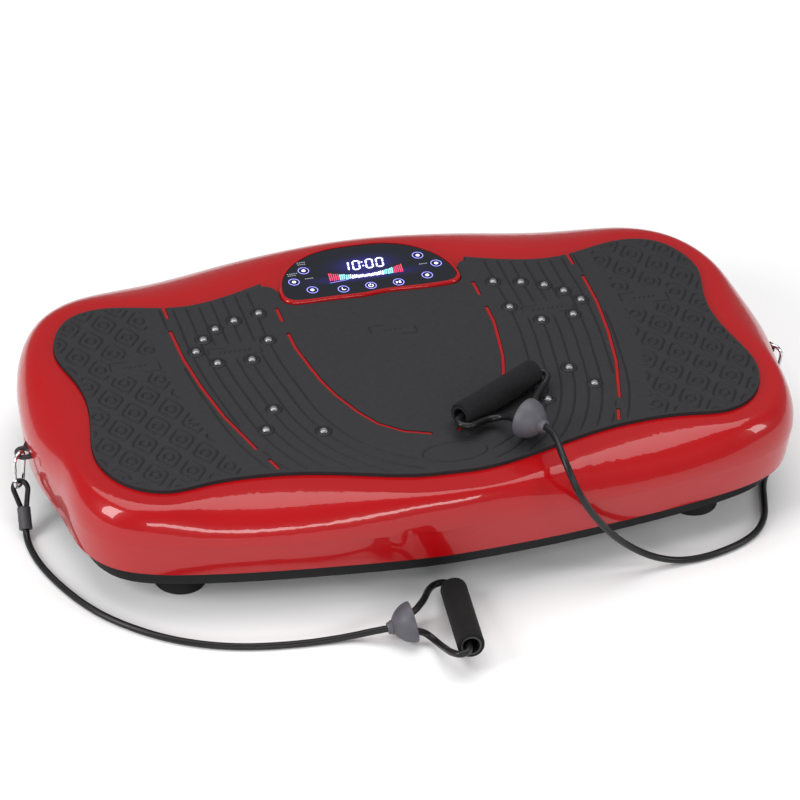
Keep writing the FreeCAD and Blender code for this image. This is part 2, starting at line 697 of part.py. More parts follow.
pins = [cylinder("pin_" + word, "Y", "pin_radius", "4 * ear_thickness + 4", "0",
                 "%d * pivot_offset - 2 * ear_thickness - 2" % side, "pivot_height")
        for side, word in ((-1, "front"), (1, "rear"))]
node(group("pins", pins), "pivot_pins")
bushes = []
for side, word in ((-1, "front"), (1, "rear")):
    tube = cylinder("bush_" + word, "Y", "pin_radius + bush_wall", "2 * ear_thickness", "0",
                    "%d * pivot_offset - ear_thickness" % side, "pivot_height")
    bore = cylinder("bush_bore_" + word, "Y", "pin_radius + running_gap", "2 * ear_thickness + 2",
                    "0", "%d * pivot_offset - ear_thickness - 1" % side, "pivot_height")
    bushes.append(cut("bush_shape_" + word, tube, [bore]))
node(group("bushes", bushes), "pivot_bushes")

# ---------------------------------------------------------------- deck plate

deck_top = pocket_floor - wall
deck_low = deck_top - size("deck_thickness")
half_long = size("deck_half_length")
half_deep = size("deck_half_depth")
corner = 20.0
plate = Part.makeBox(2 * half_long, 2 * half_deep, size("deck_thickness"),
                     V(-half_long, -half_deep, deck_low))
plate = plate.makeFillet(corner, [edge for edge in plate.Edges
                                  if abs(edge.Vertexes[0].Z - edge.Vertexes[-1].Z) > 1])
lug_half = lug_wide / 2
lug_thick = 2 * size("ear_thickness")
for side in (-1, 1):
    y = side * size("pivot_offset") - size("ear_thickness")
    reach = abs(y) + lug_thick - half_deep + 10
    tongue = Part.makeBox(60, reach, size("deck_thickness"),
                          V(-30, half_deep - 2 if side > 0 else -half_deep + 2 - reach, deck_low))
    web = Part.makeBox(lug_wide, lug_thick, deck_low - size("pivot_height") + 1,
                       V(-lug_half, y, size("pivot_height")))
    round_end = Part.makeCylinder(lug_half, lug_thick, V(0, y, size("pivot_height")), V(0, 1, 0))
    hole = Part.makeCylinder(size("pin_radius") + size("bush_wall"), lug_thick + 2,
                             V(0, y - 1, size("pivot_height")), V(0, 1, 0))
    plate = plate.fuse([tongue, web, round_end]).cut(hole)
pin_high = size("shaft_height") + size("rod_centres")
ear_gap = size("rod_thickness") / 2 + 2.0
for side in (-1, 1):
    x = side * size("rod_offset")
    for ear in (-1, 1):
        low_x = x + ear * ear_gap + (-size("ear_thickness") if ear < 0 else 0)
        web = Part.makeBox(size("ear_thickness"), 16, deck_low - pin_high + 1, V(low_x, -8, pin_high))
        round_end = Part.makeCylinder(8, size("ear_thickness"), V(low_x, 0, pin_high), V(1, 0, 0))
        hole = Part.makeCylinder(size("rod_pin_radius"), 10, V(low_x - 3, 0, pin_high), V(1, 0, 0))
        plate = plate.fuse([web, round_end]).cut(hole)
deck_screw_spots = [(x * (half_long - 25), y * (half_deep - 22)) for x in (-1, -0.35, 0.35, 1)
                    for y in (-1, 1)]
plate = plate.cut([Part.makeCylinder(2.0, 20, V(x, y, deck_low - 5)) for x, y in deck_screw_spots])
node(feature("deck_plate_shape", plate.Solids[0]), "deck_plate")
rod_pins = [cylinder("rod_pin_" + word, "X", "rod_pin_radius",
                     "rod_thickness + 4 + 2 * ear_thickness",
                     "%d * rod_offset - rod_thickness / 2 - 2 - ear_thickness" % side, "0",
                     "shaft_height + rod_centres") for side, word in ((-1, "left"), (1, "right"))]
node(group("rod_pin_pair", rod_pins), "rod_pins")
deck_screws = []
for x, y in deck_screw_spots:
    shank = Part.makeCylinder(2.0, size("deck_thickness"), V(x, y, deck_low))
    head = Part.makeCylinder(4.0, 2.4, V(x, y, deck_low - 2.4))
    deck_screws.append(shank.fuse(head))
node(feature("deck_screws_shape", Part.makeCompound(deck_screws)), "deck_screws")

# ---------------------------------------------------------------- electronics

board = box("board", "110", "80", "1.6", "-deck_half_length + 20", "20", "tray_bottom + 12")
sink = box("board_sink", "40", "14", "26", "-deck_half_length + 30", "30", "tray_bottom + 13.6")
capacitor = cylinder("board_capacitor", "Z", "9", "28", "-deck_half_length + 100", "50",
                     "tray_bottom + 13.6")
node(fuse("board_shape", [board, sink, capacitor]), "control_board")
posts = [cylinder("post_%d" % i, "Z", "3", "12 - shell_wall",
                  "-deck_half_length + 20 + %d" % dx, "20 + %d" % dy, "tray_bottom + shell_wall")
         for i, (dx, dy) in enumerate(((6, 6), (104, 6), (6, 74), (104, 74)))]
node(group("posts", posts), "board_standoffs")

# ---------------------------------------------------------------- mat, studs and panel

mat = slab(mat_line, pocket_floor, size("mat_top"))
mat = mat.cut([slab(panel_outline(1.0), pocket_floor - 1, 200), panel_bay(size("mat_gap"))])
mat = mat.cut(slot_strips(size("slot_width"), 0, pocket_floor - 5, size("mat_top") + 5))

# The studs of one side, as shares of half the length and half the depth.
STUDS = [(0.323, 0.416), (0.395, 0.385), (0.452, 0.343), (0.494, 0.281), (0.526, 0.202),
         (0.33, 0.217), (0.484, 0.104), (0.394, 0.096), (0.396, -0.263), (0.438, -0.395),
         (0.298, -0.457)]
stud_spots = [(side * x * size("length") / 2, y * size("depth") / 2)
              for side in (-1, 1) for x, y in STUDS]
stud_stem = size("stud_radius") - 1.0
mat = mat.cut([Part.makeCylinder(stud_stem, 20, V(x, y, pocket_floor - 5)) for x, y in stud_spots])
foot_mat = node(feature("foot_mat_shape", mat.Solids[0]), "foot_mat")
stud = turned("stud", [(0, 0), ("stud_radius - 1", 0), ("stud_radius - 1", "mat_thickness"),
                       ("stud_radius", "mat_thickness"), ("stud_radius", "mat_thickness + 0.8"),
                       ("0.75 * stud_radius", "mat_thickness + 0.75 * stud_height"),
                       ("0.4 * stud_radius", "mat_thickness + stud_height"),
                       (0, "mat_thickness + stud_height")])
stud_shape = copies(stud, [FreeCAD.Placement(V(x, y, pocket_floor), FreeCAD.Rotation())
                           for x, y in stud_spots])
node(feature("studs_shape", stud_shape), "massage_studs")
node(feature("glass_shape", slab(inset(glass_line, size("mat_gap")), glass_seat,
                                 glass_seat + size("glass_thickness"))), "panel_glass")
module_deep = size("panel_reach") - 44
node(box("module", "2 * panel_half - 44", str(module_deep), "2.6", "-panel_half + 22",
         "panel_front + 15", "mat_top - 3"), "display_board")

# ---------------------------------------------------------------- inlet and switch

housing = centred_box(inlet_wide - 0.4, inlet_deep, inlet_tall - 0.4, size("inlet_offset"),
                      inlet_face - inlet_deep + 0.6, size("inlet_height"))
lip = centred_box(inlet_wide + 5, 2.0, inlet_tall + 5, size("inlet_offset"), inlet_face,
                  size("inlet_height"))
well = centred_box(15.0, 20, 8.4, size("inlet_offset"), inlet_face - 11, size("inlet_height"))
inlet = housing.fuse(lip).cut(well)
for side in (-1, 1):
    prong = Part.makeCylinder(1.2, 9, V(size("inlet_offset") + side * 4.35, inlet_face - 11.5,
                                        size("inlet_height")), V(0, 1, 0))
    inlet = inlet.fuse(prong)
node(feature("inlet_shape", inlet.Solids[0]), "mains_inlet")
case = centred_box(switch_wide - 0.4, 16, switch_tall - 0.4, size("switch_offset"),
                   switch_face - 16 + 0.6, size("inlet_height"))
bezel = centred_box(switch_wide + 3, 2.0, switch_tall + 3, size("switch_offset"), switch_face,
                    size("inlet_height"))
window = centred_box(9.6, 20, 16.6, size("switch_offset"), switch_face - 8, size("inlet_height"))
node(feature("switch_shape", case.fuse(bezel).cut(window).Solids[0]), "switch_housing")
rocker_pivot = V(size("switch_offset"), switch_face - 2.5, size("inlet_height"))
rocker = Part.makePolygon([V(0, -2.5, -6.8), V(0, 5.6, -6.6), V(0, 3.6, 0), V(0, 2.6, 6.6),
                           V(0, -2.5, 6.8), V(0, -2.5, -6.8)])
rocker = Part.Face(rocker).extrude(V(8.8, 0, 0))
rocker.translate(rocker_pivot + V(-4.4, 0, 0))
rocker = rocker.fuse(Part.makeCylinder(2.6, 8.8, rocker_pivot - V(4.4, 0, 0), V(1, 0, 0)))
node(feature("rocker_shape", rocker.Solids[0]), "power_rocker")

# ---------------------------------------------------------------- anchor tabs and snap hooks

tab_reach = 4.0
tab_x = size("length") / 2 + tab_reach
tab_y = -7.5
tab_rim = 8.4
tab_low = size("tab_height") - size("tab_thickness") / 2


def tab_shape(side):
    """A flat tab that narrows to a ring round its hole; its wide root is inside the wall."""
    hole = V(side * tab_x, tab_y, tab_low)
    tip = Part.Face(Part.Wire([Part.makeCircle(tab_rim, hole)])).extrude(V(0, 0, size("tab_thickness")))
    back = V(side * (tab_x - 7.5), 13.0, tab_low)
    front = V(side * (tab_x - 9.5), -15.0, tab_low)
    root = [V(side * (tab_x - 26), 13.0, tab_low), back, hole + V(side * -1.0, tab_rim, 0),
            hole + V(0, -tab_rim, 0), front, V(side * (tab_x - 26), -15.0, tab_low)]
    web = Part.Face(Part.makePolygon(root + root[:1])).extrude(V(0, 0, size("tab_thickness")))
    bore = Part.makeCylinder(size("tab_hole_radius"), 10, hole - V(0, 0, 3))
    return tip.fuse(web).cut(bore).removeSplitter()


def hook_direction(side):
    """The snap hook stands in an upright plane that points outwards and forwards."""
    return V(side * math.sqrt(0.5), -math.sqrt(0.5), 0)


def hook_points(side):
    """Where the snap hook's bends, its gate's pivot and its lowest bend are."""
    wire = size("hook_wire")
    large = size("hook_width") / 2 - wire
    small = large - 2.0
    hole = V(side * tab_x, tab_y, 0)
    bite = large - wire - 0.4
    step = large - (size("tab_hole_radius"))
    high = size("tab_height") + size("tab_thickness") / 2 - math.sqrt(bite ** 2 - step ** 2)
    low = high + large + wire - size("hook_length") + small + wire
    out = hook_direction(side)
    lean = math.asin((large - small) / (high - low))

    def at(s, z):
        return hole + out * s + V(0, 0, z)

    top = at(large, high)
    bottom = at(large, low)
    sides = []
    for way in (-1, 1):
        normal = out * (way * math.cos(lean)) + V(0, 0, math.sin(lean))
        sides.append((top + normal * large, bottom + normal * small))
    return {"top": top, "bottom": bottom, "large": large, "small": small, "sides": sides,
            "out": out}


GATE_TOP = 0.38
GATE_FOOT = 0.93
gate_gap = 0.5
gate_radius = 1.5


def along(pair, share):
    return pair[0] + (pair[1] - pair[0]) * share


def sweep(path, radius):
    """A round bar along a wire that starts with a straight or curved edge."""
    first = path.OrderedEdges[0]
    start = path.OrderedVertexes[0].Point
    tangent = first.tangentAt(first.FirstParameter)
    if start.distanceToPoint(first.valueAt(first.FirstParameter)) > 1e-6:
        tangent = first.tangentAt(first.LastParameter) * -1
    ring = Part.Wire([Part.makeCircle(radius, start, tangent)])
    return path.makePipeShell([ring], True, False)


def hook_shape(side):
    spot = hook_points(side)
    inner, outer = spot["sides"]
    crown = spot["top"] + V(0, 0, spot["large"])
    toe = spot["bottom"] - V(0, 0, spot["small"])
    edges = [Part.makeLine(along(outer, GATE_TOP), outer[0]),
             Part.Arc(outer[0], crown, inner[0]).toShape(),
             Part.makeLine(inner[0], inner[1]),
             Part.Arc(inner[1], toe, outer[1]).toShape(),
             Part.makeLine(outer[1], along(outer, GATE_FOOT))]
    return sweep(Part.Wire(edges), size("hook_wire"))


def gate_pivot(side):
    outer = hook_points(side)["sides"][1]
    foot = along(outer, GATE_FOOT)
    return foot + (outer[0] - outer[1]).normalize() * (gate_radius + gate_gap)


def gate_shape(side):
    inner, outer = hook_points(side)["sides"]
    pivot = gate_pivot(side)
    up = (outer[0] - outer[1]).normalize()
    hinge = up.cross(outer[0] - inner[0]).normalize()
    tall = along(outer, GATE_TOP).distanceToPoint(pivot) - gate_gap
    barrel = Part.makeCylinder(gate_radius, 2 * gate_radius, pivot - hinge * gate_radius, hinge)
    return barrel.fuse(Part.makeCylinder(gate_radius, tall, pivot, up))


# ---------------------------------------------------------------- resistance bands
# Everything on a band keeps its place from its anchor tab; the routes' points are chosen by hand.

eye_radius = 2.35
eye_loop = 7.2
eye_slack = 1.6
sleeve_high = V(358.8, -26.0, 22.0)
sleeve_low = V(360.2, -41.5, 8.0)

TUBES = {
    -1: [(-360, -39.3, 10), (-360.5, -44.5, 5.3), (-360.9, -51, 3.5), (-360.8, -61, 3.1),
         (-359, -78, 3.1), (-354, -99, 3.1), (-345, -123, 3.1), (-334, -146, 3.1),
         (-319, -169, 3.1), (-298, -191, 3.1), (-277, -208, 3.1), (-255, -221, 3.1),
         (-232, -231, 3.1), (-208, -238, 3.1), (-183, -242.3, 3.1), (-157, -245, 3.1),
         (-134, -246.3, 3.8), (-115, -248.3, 6.2), (-104.5, -250.6, 9.3), (-96.5, -253.3, 12),
         (-85.3, -255.7, 14.7)],
    1: [(360, -39.3, 10), (360.5, -44.5, 5.3), (360.2, -52, 3.5), (357, -66, 3.1),
        (347, -84, 3.1), (333, -99, 3.1), (320, -112, 3.1), (311, -129, 3.1),
        (304.5, -150, 3.1), (297, -171, 3.1), (284, -189, 3.1), (265, -201.5, 3.1),
        (243, -209.5, 3.1), (220, -214.5, 3.1), (198, -215.5, 4.5), (177, -216, 11.5),
        (157, -217.5, 24), (137.5, -219.5, 41), (124.5, -221.5, 55.5), (113.5, -222.8, 70),
        (102.8, -223.8, 86), (94, -223.5, 101), (87.5, -219, 115), (84, -209.5, 126),
        (82.2, -196.5, 132.3), (83, -181.5, 135.3), (82.4, -168, 136), (77.8, -159.1, 135.2)],
}
STRAPS = {
    -1: [(-68.5, -248.5, 18.5), (-60, -244, 19.8), (-53, -236.5, 19.2), (-46.5, -227.5, 16.8),
         (-41.5, -218.5, 14.2), (-36.5, -209.8, 11.6), (-30.3, -202.7, 9.6), (-22.6, -200.6, 9.8),
         (-17.1, -203, 10.5), (-14.3, -208.4, 11.3), (-15.6, -220, 13.1), (-18.9, -235.5, 15.4),
         (-21.4, -257.1, 19.3), (-25.6, -278.4, 22.4), (-28.4, -296, 25.4), (-31.2, -307.5, 27),
         (-32.6, -313, 27.7), (-36.2, -317, 27.4), (-41.9, -317, 26.4), (-46, -311.9, 24.4),
         (-47.6, -304.5, 20.8), (-47.3, -296.5, 16.4), (-47.9, -285, 11), (-49.2, -274.5, 7.5),
         (-53, -266.5, 8.2), (-60, -264, 13), (-69.5, -265.5, 16.5)],
    1: [(61.3, -149, 133.9), (58.7, -142, 133), (55.2, -132, 129), (49.5, -125, 124.8),
        (39.5, -123.8, 123.3), (29, -129.2, 125.5), (19, -135.2, 127.3), (12.5, -133.5, 127.6),
        (9.6, -128.3, 127.6), (11.6, -122.8, 127.3), (19.5, -116.4, 127.3),
        (35.4, -107.7, 127.2), (55.7, -94.8, 127.5), (76.9, -83.7, 127.2), (92, -74.1, 127.5),
        (102.6, -70.3, 127.3), (108, -72.3, 127.2), (110, -77.8, 127), (107.2, -83.5, 126),
        (101, -89.8, 125), (94.3, -97.5, 125), (88.5, -106, 127), (83.5, -115.5, 129.5),
        (79.5, -125.5, 132), (77.3, -133.5, 133.3), (75.5, -139.8, 133.9)],
}
# Flat face's centre and the way it faces, for the stopper; middle and direction, for the grip.
STOPPERS = {-1: (V(-65.1, -256.1, 18.6), V(0.984, -0.015, 0.177)),
            1: (V(66.8, -141.9, 133.7), V(-0.538, 0.840, -0.070))}
GRIPS = {-1: (V(-22.5, -261.95, 20.0), V(-0.1514, -0.9762, 0.1578)),
         1: (V(56.75, -94.75, 127.4), V(0.8665, 0.4992, 0.0))}


def cord_path(points, label):
    """Straight runs joined by tangent arcs, each arc as large as its two runs allow."""
    spots = [V(*point) for point in points]
    edges = []
    start = spots[0]
    radii = []
    for before, corner_point, after in zip(spots, spots[1:], spots[2:]):
        arriving = (corner_point - before).normalize()
        leaving = (after - corner_point).normalize()
        turn = arriving.getAngle(leaving)
        reach = 0.45 * min(before.distanceToPoint(corner_point), corner_point.distanceToPoint(after))
        radius = reach / math.tan(turn / 2)
        radii.append(round(radius, 1))
        enter = corner_point - arriving * reach
        leave = corner_point + leaving * reach
        inwards = (leaving - arriving).normalize()
        middle = corner_point + inwards * (radius / math.cos(turn / 2) - radius)
        edges.append(Part.LineSegment(start, enter).toShape())
        edges.append(Part.Arc(enter, middle, leave).toShape())
        start = leave
    edges.append(Part.LineSegment(start, spots[-1]).toShape())
    wire = Part.Wire(edges)
    print(label, "length %.0f" % wire.Length, "arc radii", radii)
    return wire


def tube_shape(points, radius, label):
    path = cord_path(points, label)
    tube = sweep(path, radius)
    share = tube.Volume / (math.pi * radius ** 2 * path.Length)
    print(label, "volume over section times length %.4f" % share)
    return tube


def eye_shape(side):
    """The tube folded into a drop-shaped eye whose two ends go into the crimp sleeve."""
    spot = hook_points(side)
    toe = spot["bottom"] - V(0, 0, spot["small"])
    crown = toe + V(0, 0, size("hook_wire") + eye_radius + eye_slack)
    base = V(side * (tab_x - 354) + side * sleeve_high.x, sleeve_high.y, sleeve_high.z)
    up = (crown - base).normalize()
    across = V(0.74, side * 0.67, 0)
    across = (across - up * across.dot(up)).normalize()
    tall = crown.distanceToPoint(base)
    middle = tall - eye_loop
    foot = eye_radius + 0.15
    depth = 1.5
    reach = math.hypot(foot, middle + depth)
    angle = math.atan2(middle + depth, foot)
    touch = angle - math.acos(eye_loop / reach)

    def at(p, q):
        return base + across * p + up * q

    left = at(-eye_loop * math.cos(touch), middle - eye_loop * math.sin(touch))
    right = at(eye_loop * math.cos(touch), middle - eye_loop * math.sin(touch))
    edges = [Part.makeLine(at(-foot, -depth), left), Part.Arc(left, crown, right).toShape(),
             Part.makeLine(right, at(foot, -depth))]
    return sweep(Part.Wire(edges), eye_radius)


def stopper_shape(side):
    """A half ball of rubber with a flat face and a short neck for the tube."""
    centre, facing = STOPPERS[side]
    radius = size("stopper_radius")
    deep = size("stopper_depth")
    neck = 5.8
    neck_long = 4.5
    rim = 3.0
    curve = Part.Arc(V(radius, 0, -rim), V(radius * 0.78, 0, -rim - (deep - rim) * 0.62),
                     V(neck, 0, -deep)).toShape()
    outline = [Part.makeLine(V(0, 0, 0), V(radius, 0, 0)),
               Part.makeLine(V(radius, 0, 0), V(radius, 0, -rim)), curve,
               Part.makeLine(V(neck, 0, -deep), V(neck, 0, -deep - neck_long)),
               Part.makeLine(V(neck, 0, -deep - neck_long), V(0, 0, -deep - neck_long)),
               Part.makeLine(V(0, 0, -deep - neck_long), V(0, 0, 0))]
    solid = Part.Face(Part.Wire(outline)).revolve(V(), V(0, 0, 1), 360)
    solid.Placement = aim(centre, facing)
    return solid


for side, word in ((-1, "left"), (1, "right")):
    shift = V(side * (tab_x - 354), 0, 0)
    node(feature("tab_shape_" + word, tab_shape(side)), "anchor_tab_" + word)
    node(feature("hook_shape_" + word, hook_shape(side)), "snap_hook_" + word)
    node(feature("gate_shape_" + word, gate_shape(side)), "hook_gate_" + word)
    node(feature("eye_shape_" + word, eye_shape(side)), "band_eye_" + word)
    high = V(side * sleeve_high.x, sleeve_high.y, sleeve_high.z) + shift
    low = V(side * sleeve_low.x, sleeve_low.y, sleeve_low.z) + shift
    sleeve = Part.makeCylinder(size("sleeve_radius"), high.distanceToPoint(low), low, high - low)
    node(feature("sleeve_shape_" + word, sleeve), "band_sleeve_" + word)
    pieces = [("tube", tube_shape(TUBES[side], size("band_radius"), "band_tube_" + word)),
              ("strap", tube_shape(STRAPS[side], size("band_radius"), "band_strap_" + word)),
              ("stopper", stopper_shape(side))]
    for piece, shape in pieces:
        shape.translate(shift)
        node(feature("%s_shape_%s" % (piece, word), shape), "band_%s_%s" % (piece, word))
    middle, direction = GRIPS[side]
    end = middle + shift - direction * (size("grip_length") / 2)
    bore = size("grip_bore")
    core = bore + size("core_wall")
    long = size("grip_length")
    foam = Part.makeCylinder(size("grip_radius"), long, end, direction)
    foam = foam.cut(Part.makeCylinder(core, long, end, direction))
    tube = Part.makeCylinder(core, long, end, direction)
    tube = tube.cut(Part.makeCylinder(bore, long, end, direction))
    node(feature("foam_shape_" + word, foam), "grip_foam_" + word)
    node(feature("core_shape_" + word, tube), "grip_core_" + word)
    pivot = gate_pivot(side)
    print("gate pivot", word, [round(c, 2) for c in pivot])

# ---------------------------------------------------------------- checks and export

doc.recompute()
faults = [obj.Label for obj in doc.Objects if "Invalid" in obj.State or "Error" in obj.State]
faults += [obj.Label for obj in NODES
           if obj.Shape.isNull() or not obj.Shape.isValid() or not obj.Shape.Solids]
if faults:
    raise RuntimeError("these sub-parts failed: " + ", ".join(faults))
os.makedirs("parts", exist_ok=True)
for obj in NODES:
    shape = obj.Shape
    shape.exportStep("parts/%s.step" % obj.Label)
    print("%-22s solids %2d  volume %8.1f cm3" % (obj.Label, len(shape.Solids), shape.Volume / 1000))
print(len(NODES), "nodes")
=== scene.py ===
import math
import random
import bmesh
import bpy
from mathutils import Matrix, Vector
from mathutils.bvhtree import BVHTree


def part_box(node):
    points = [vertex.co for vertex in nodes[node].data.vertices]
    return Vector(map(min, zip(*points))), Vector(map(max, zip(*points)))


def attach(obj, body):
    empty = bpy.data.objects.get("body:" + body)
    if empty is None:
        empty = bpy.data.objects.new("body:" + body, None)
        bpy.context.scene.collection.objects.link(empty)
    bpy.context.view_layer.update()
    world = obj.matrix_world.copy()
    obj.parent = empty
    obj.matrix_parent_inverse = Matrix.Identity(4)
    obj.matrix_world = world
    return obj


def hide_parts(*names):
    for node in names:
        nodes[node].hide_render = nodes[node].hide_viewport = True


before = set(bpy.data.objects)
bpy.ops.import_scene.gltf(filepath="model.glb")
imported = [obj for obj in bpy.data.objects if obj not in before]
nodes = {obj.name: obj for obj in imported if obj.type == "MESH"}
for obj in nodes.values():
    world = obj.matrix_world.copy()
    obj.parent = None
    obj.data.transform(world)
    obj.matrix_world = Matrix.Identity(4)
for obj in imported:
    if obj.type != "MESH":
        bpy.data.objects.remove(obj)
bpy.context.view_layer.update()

MM = 0.001

# ---------------------------------------------------------------- camera, floor and light
# A long lens from the front left, about 37 degrees up. A pale floor, one large soft box
# overhead, one on the left that draws the long streak in the gloss, and weak fills.

eye_at = Vector((-0.9419, -2.7383, 2.2073))
eye_right = Vector((0.9557, -0.2902, 0.0484))
eye_up = Vector((0.1361, 0.5817, 0.8019))
eye_back = eye_right.cross(eye_up)
lens = bpy.data.cameras.new("camera")
lens.lens = 177.33
lens.sensor_width = 36.0
lens.clip_end = 30.0
camera = bpy.data.objects.new("camera", lens)
bpy.context.scene.collection.objects.link(camera)
turn = Matrix((eye_right, eye_up, eye_back)).transposed().to_4x4()
camera.matrix_world = Matrix.Translation(eye_at) @ turn
bpy.context.scene.camera = camera
bpy.context.scene.view_settings.view_transform = "Standard"

world = bpy.data.worlds.new("studio")
world.use_nodes = True
bpy.context.scene.world = world
air = world.node_tree.nodes["Background"]
air.inputs["Color"].default_value = (0.97, 0.98, 1.0, 1.0)
air.inputs["Strength"].default_value = 0.3


def soft_box(name, place, target, wide, deep, power):
    """A rectangular soft box that faces its target."""
    light = bpy.data.lights.new(name, "AREA")
    light.shape = "RECTANGLE"
    light.size = wide
    light.size_y = deep
    light.energy = power
    obj = bpy.data.objects.new(name, light)
    bpy.context.scene.collection.objects.link(obj)
    away = (Vector(place) - Vector(target)).normalized()
    facing = away.to_track_quat("Z", "Y").to_matrix().to_4x4()
    obj.matrix_world = Matrix.Translation(place) @ facing


soft_box("overhead_box", (0.0, 0.6, 3.0), (0, 0.2, 0), 3.6, 2.6, 76)
soft_box("left_box", (-2.1, -0.6, 1.3), (0, 0, 0.1), 0.7, 1.4, 34)
soft_box("right_box", (2.1, -1.3, 1.2), (0, 0, 0.1), 0.6, 1.0, 14)
soft_box("front_box", (-0.3, -2.6, 0.9), (0, 0, 0.05), 2.2, 0.35, 22)


def shader(name, colour, rough, **sockets):
    """A material with its surface shader's fixed sockets set."""
    material = bpy.data.materials.new(name)
    material.use_nodes = True
    tree = material.node_tree
    skin = tree.nodes["Principled BSDF"]
    skin.inputs["Base Color"].default_value = (*colour, 1.0)
    skin.inputs["Roughness"].default_value = rough
    for socket, value in sockets.items():
        skin.inputs[socket.replace("_", " ")].default_value = value
    material.diffuse_color = (*colour, 1.0)
    return material


def wire(material, start, end):
    material.node_tree.links.new(start, end)


def grain(material, scale, depth, strength=0.4, mottle=0.0, rough_swing=0.0, stretch=(1, 1, 1)):
    """Fine relief, mottling and uneven gloss from one noise; scale is in grains per metre."""
    tree = material.node_tree
    skin = tree.nodes["Principled BSDF"]
    place = tree.nodes.new("ShaderNodeTexCoord")
    squeeze = tree.nodes.new("ShaderNodeMapping")
    squeeze.inputs["Scale"].default_value = stretch
    wire(material, place.outputs["Object"], squeeze.inputs["Vector"])
    noise = tree.nodes.new("ShaderNodeTexNoise")
    noise.inputs["Scale"].default_value = scale
    noise.inputs["Detail"].default_value = 4.0
    wire(material, squeeze.outputs["Vector"], noise.inputs["Vector"])
    bump = tree.nodes.new("ShaderNodeBump")
    bump.inputs["Strength"].default_value = strength
    bump.inputs["Distance"].default_value = depth
    wire(material, noise.outputs["Fac"], bump.inputs["Height"])
    wire(material, bump.outputs["Normal"], skin.inputs["Normal"])
    if rough_swing:
        rough = skin.inputs["Roughness"].default_value
        span = tree.nodes.new("ShaderNodeMapRange")
        span.inputs["To Min"].default_value = max(0.02, rough - rough_swing)
        span.inputs["To Max"].default_value = min(1.0, rough + rough_swing)
        wire(material, noise.outputs["Fac"], span.inputs["Value"])
        wire(material, span.outputs["Result"], skin.inputs["Roughness"])
    if mottle:
        broad = tree.nodes.new("ShaderNodeTexNoise")
        broad.inputs["Scale"].default_value = scale / 12
        broad.inputs["Detail"].default_value = 6.0
        wire(material, squeeze.outputs["Vector"], broad.inputs["Vector"])
        base = skin.inputs["Base Color"].default_value[:3]
        ramp = tree.nodes.new("ShaderNodeValToRGB")
        ramp.color_ramp.elements[0].position = 0.3
        ramp.color_ramp.elements[1].position = 0.7
        ramp.color_ramp.elements[0].color = (*[c * (1 - mottle) for c in base], 1)
        ramp.color_ramp.elements[1].color = (*[min(1, c * (1 + mottle)) for c in base], 1)
        wire(material, broad.outputs["Fac"], ramp.inputs["Fac"])
        wire(material, ramp.outputs["Color"], skin.inputs["Base Color"])
    return material


def dress(material, *names):
    """Give carried-over parts their finish."""
    for name in names:
        for place in nodes[name].material_slots:
            place.material = material


floor_mesh = bpy.data.meshes.new("studio_floor")
reach = 6.0
floor_mesh.from_pydata([(-reach, -reach, 0), (reach, -reach, 0),
                        (reach, reach, 0), (-reach, reach, 0)],
                       [], [(0, 1, 2, 3)])
floor = bpy.data.objects.new("studio_floor", floor_mesh)
bpy.context.scene.collection.objects.link(floor)
floor_mesh.materials.append(grain(shader("paper_sweep", (0.9, 0.9, 0.9), 0.75), 60, 0.0002, 0.1))

# ---------------------------------------------------------------- resistance band tubes
# Each band is a length of black latex tube, crimped into a sleeve under its snap hook. It
# hangs to the floor; the right one climbs over the front edge to its stopper on the mat.

tube_thick = 6.2 * MM
LEFT_TUBE = [
    (-360, -39.3, 10), (-360.5, -44.5, 5.3), (-360.9, -51, 3.5), (-360.8, -61, 3.1),
    (-359, -78, 3.1), (-354, -99, 3.1), (-345, -123, 3.1), (-334, -146, 3.1),
    (-319, -169, 3.1), (-298, -191, 3.1), (-277, -208, 3.1), (-255, -221, 3.1),
    (-232, -231, 3.1), (-208, -238, 3.1), (-183, -242.3, 3.1), (-157, -245, 3.1),
    (-134, -246.3, 3.8), (-115, -248.3, 6.2), (-104.5, -250.6, 9.3), (-96.5, -253.3, 12),
    (-85.3, -255.7, 14.7)]
RIGHT_TUBE = [
    (360, -39.3, 10), (360.5, -44.5, 5.3), (360.2, -52, 3.5), (357, -66, 3.1),
    (347, -84, 3.1), (333, -99, 3.1), (320, -112, 3.1), (311, -129, 3.1),
    (304.5, -150, 3.1), (297, -171, 3.1), (284, -189, 3.1), (265, -201.5, 3.1),
    (243, -209.5, 3.1), (220, -214.5, 3.1), (198, -215.5, 4.5), (177, -216, 11.5),
    (157, -217.5, 24), (137.5, -219.5, 41), (124.5, -221.5, 55.5), (113.5, -222.8, 70),
    (102.8, -223.8, 86), (94, -223.5, 101), (87.5, -219, 115), (84, -209.5, 126),
    (82.2, -196.5, 132.3), (83, -181.5, 135.3), (82.4, -168, 136), (77.8, -159.1, 135.2)]

band_rubber = grain(shader("latex_tube", (0.009, 0.009, 0.01), 0.32, Specular_IOR_Level=0.3),
                    900, 0.00008, 0.25, 0.15, 0.08)


def tube(name, points, thick):
    """A smooth tube drawn along its route's points, with closed ends."""
    curve = bpy.data.curves.new(name, "CURVE")
    curve.dimensions = "3D"
    curve.bevel_depth = 1.0
    curve.bevel_resolution = 7
    curve.resolution_u = 8
    curve.use_fill_caps = True
    line = curve.splines.new("NURBS")
    line.points.add(len(points) - 1)
    for knot, (x, y, z) in zip(line.points, points):
        knot.co = (x * MM, y * MM, z * MM, 1.0)
        knot.radius = thick / 2
    line.order_u = 3
    line.use_endpoint_u = True
    obj = bpy.data.objects.new(name, curve)
    bpy.context.scene.collection.objects.link(obj)
    curve.materials.append(band_rubber)
    return obj


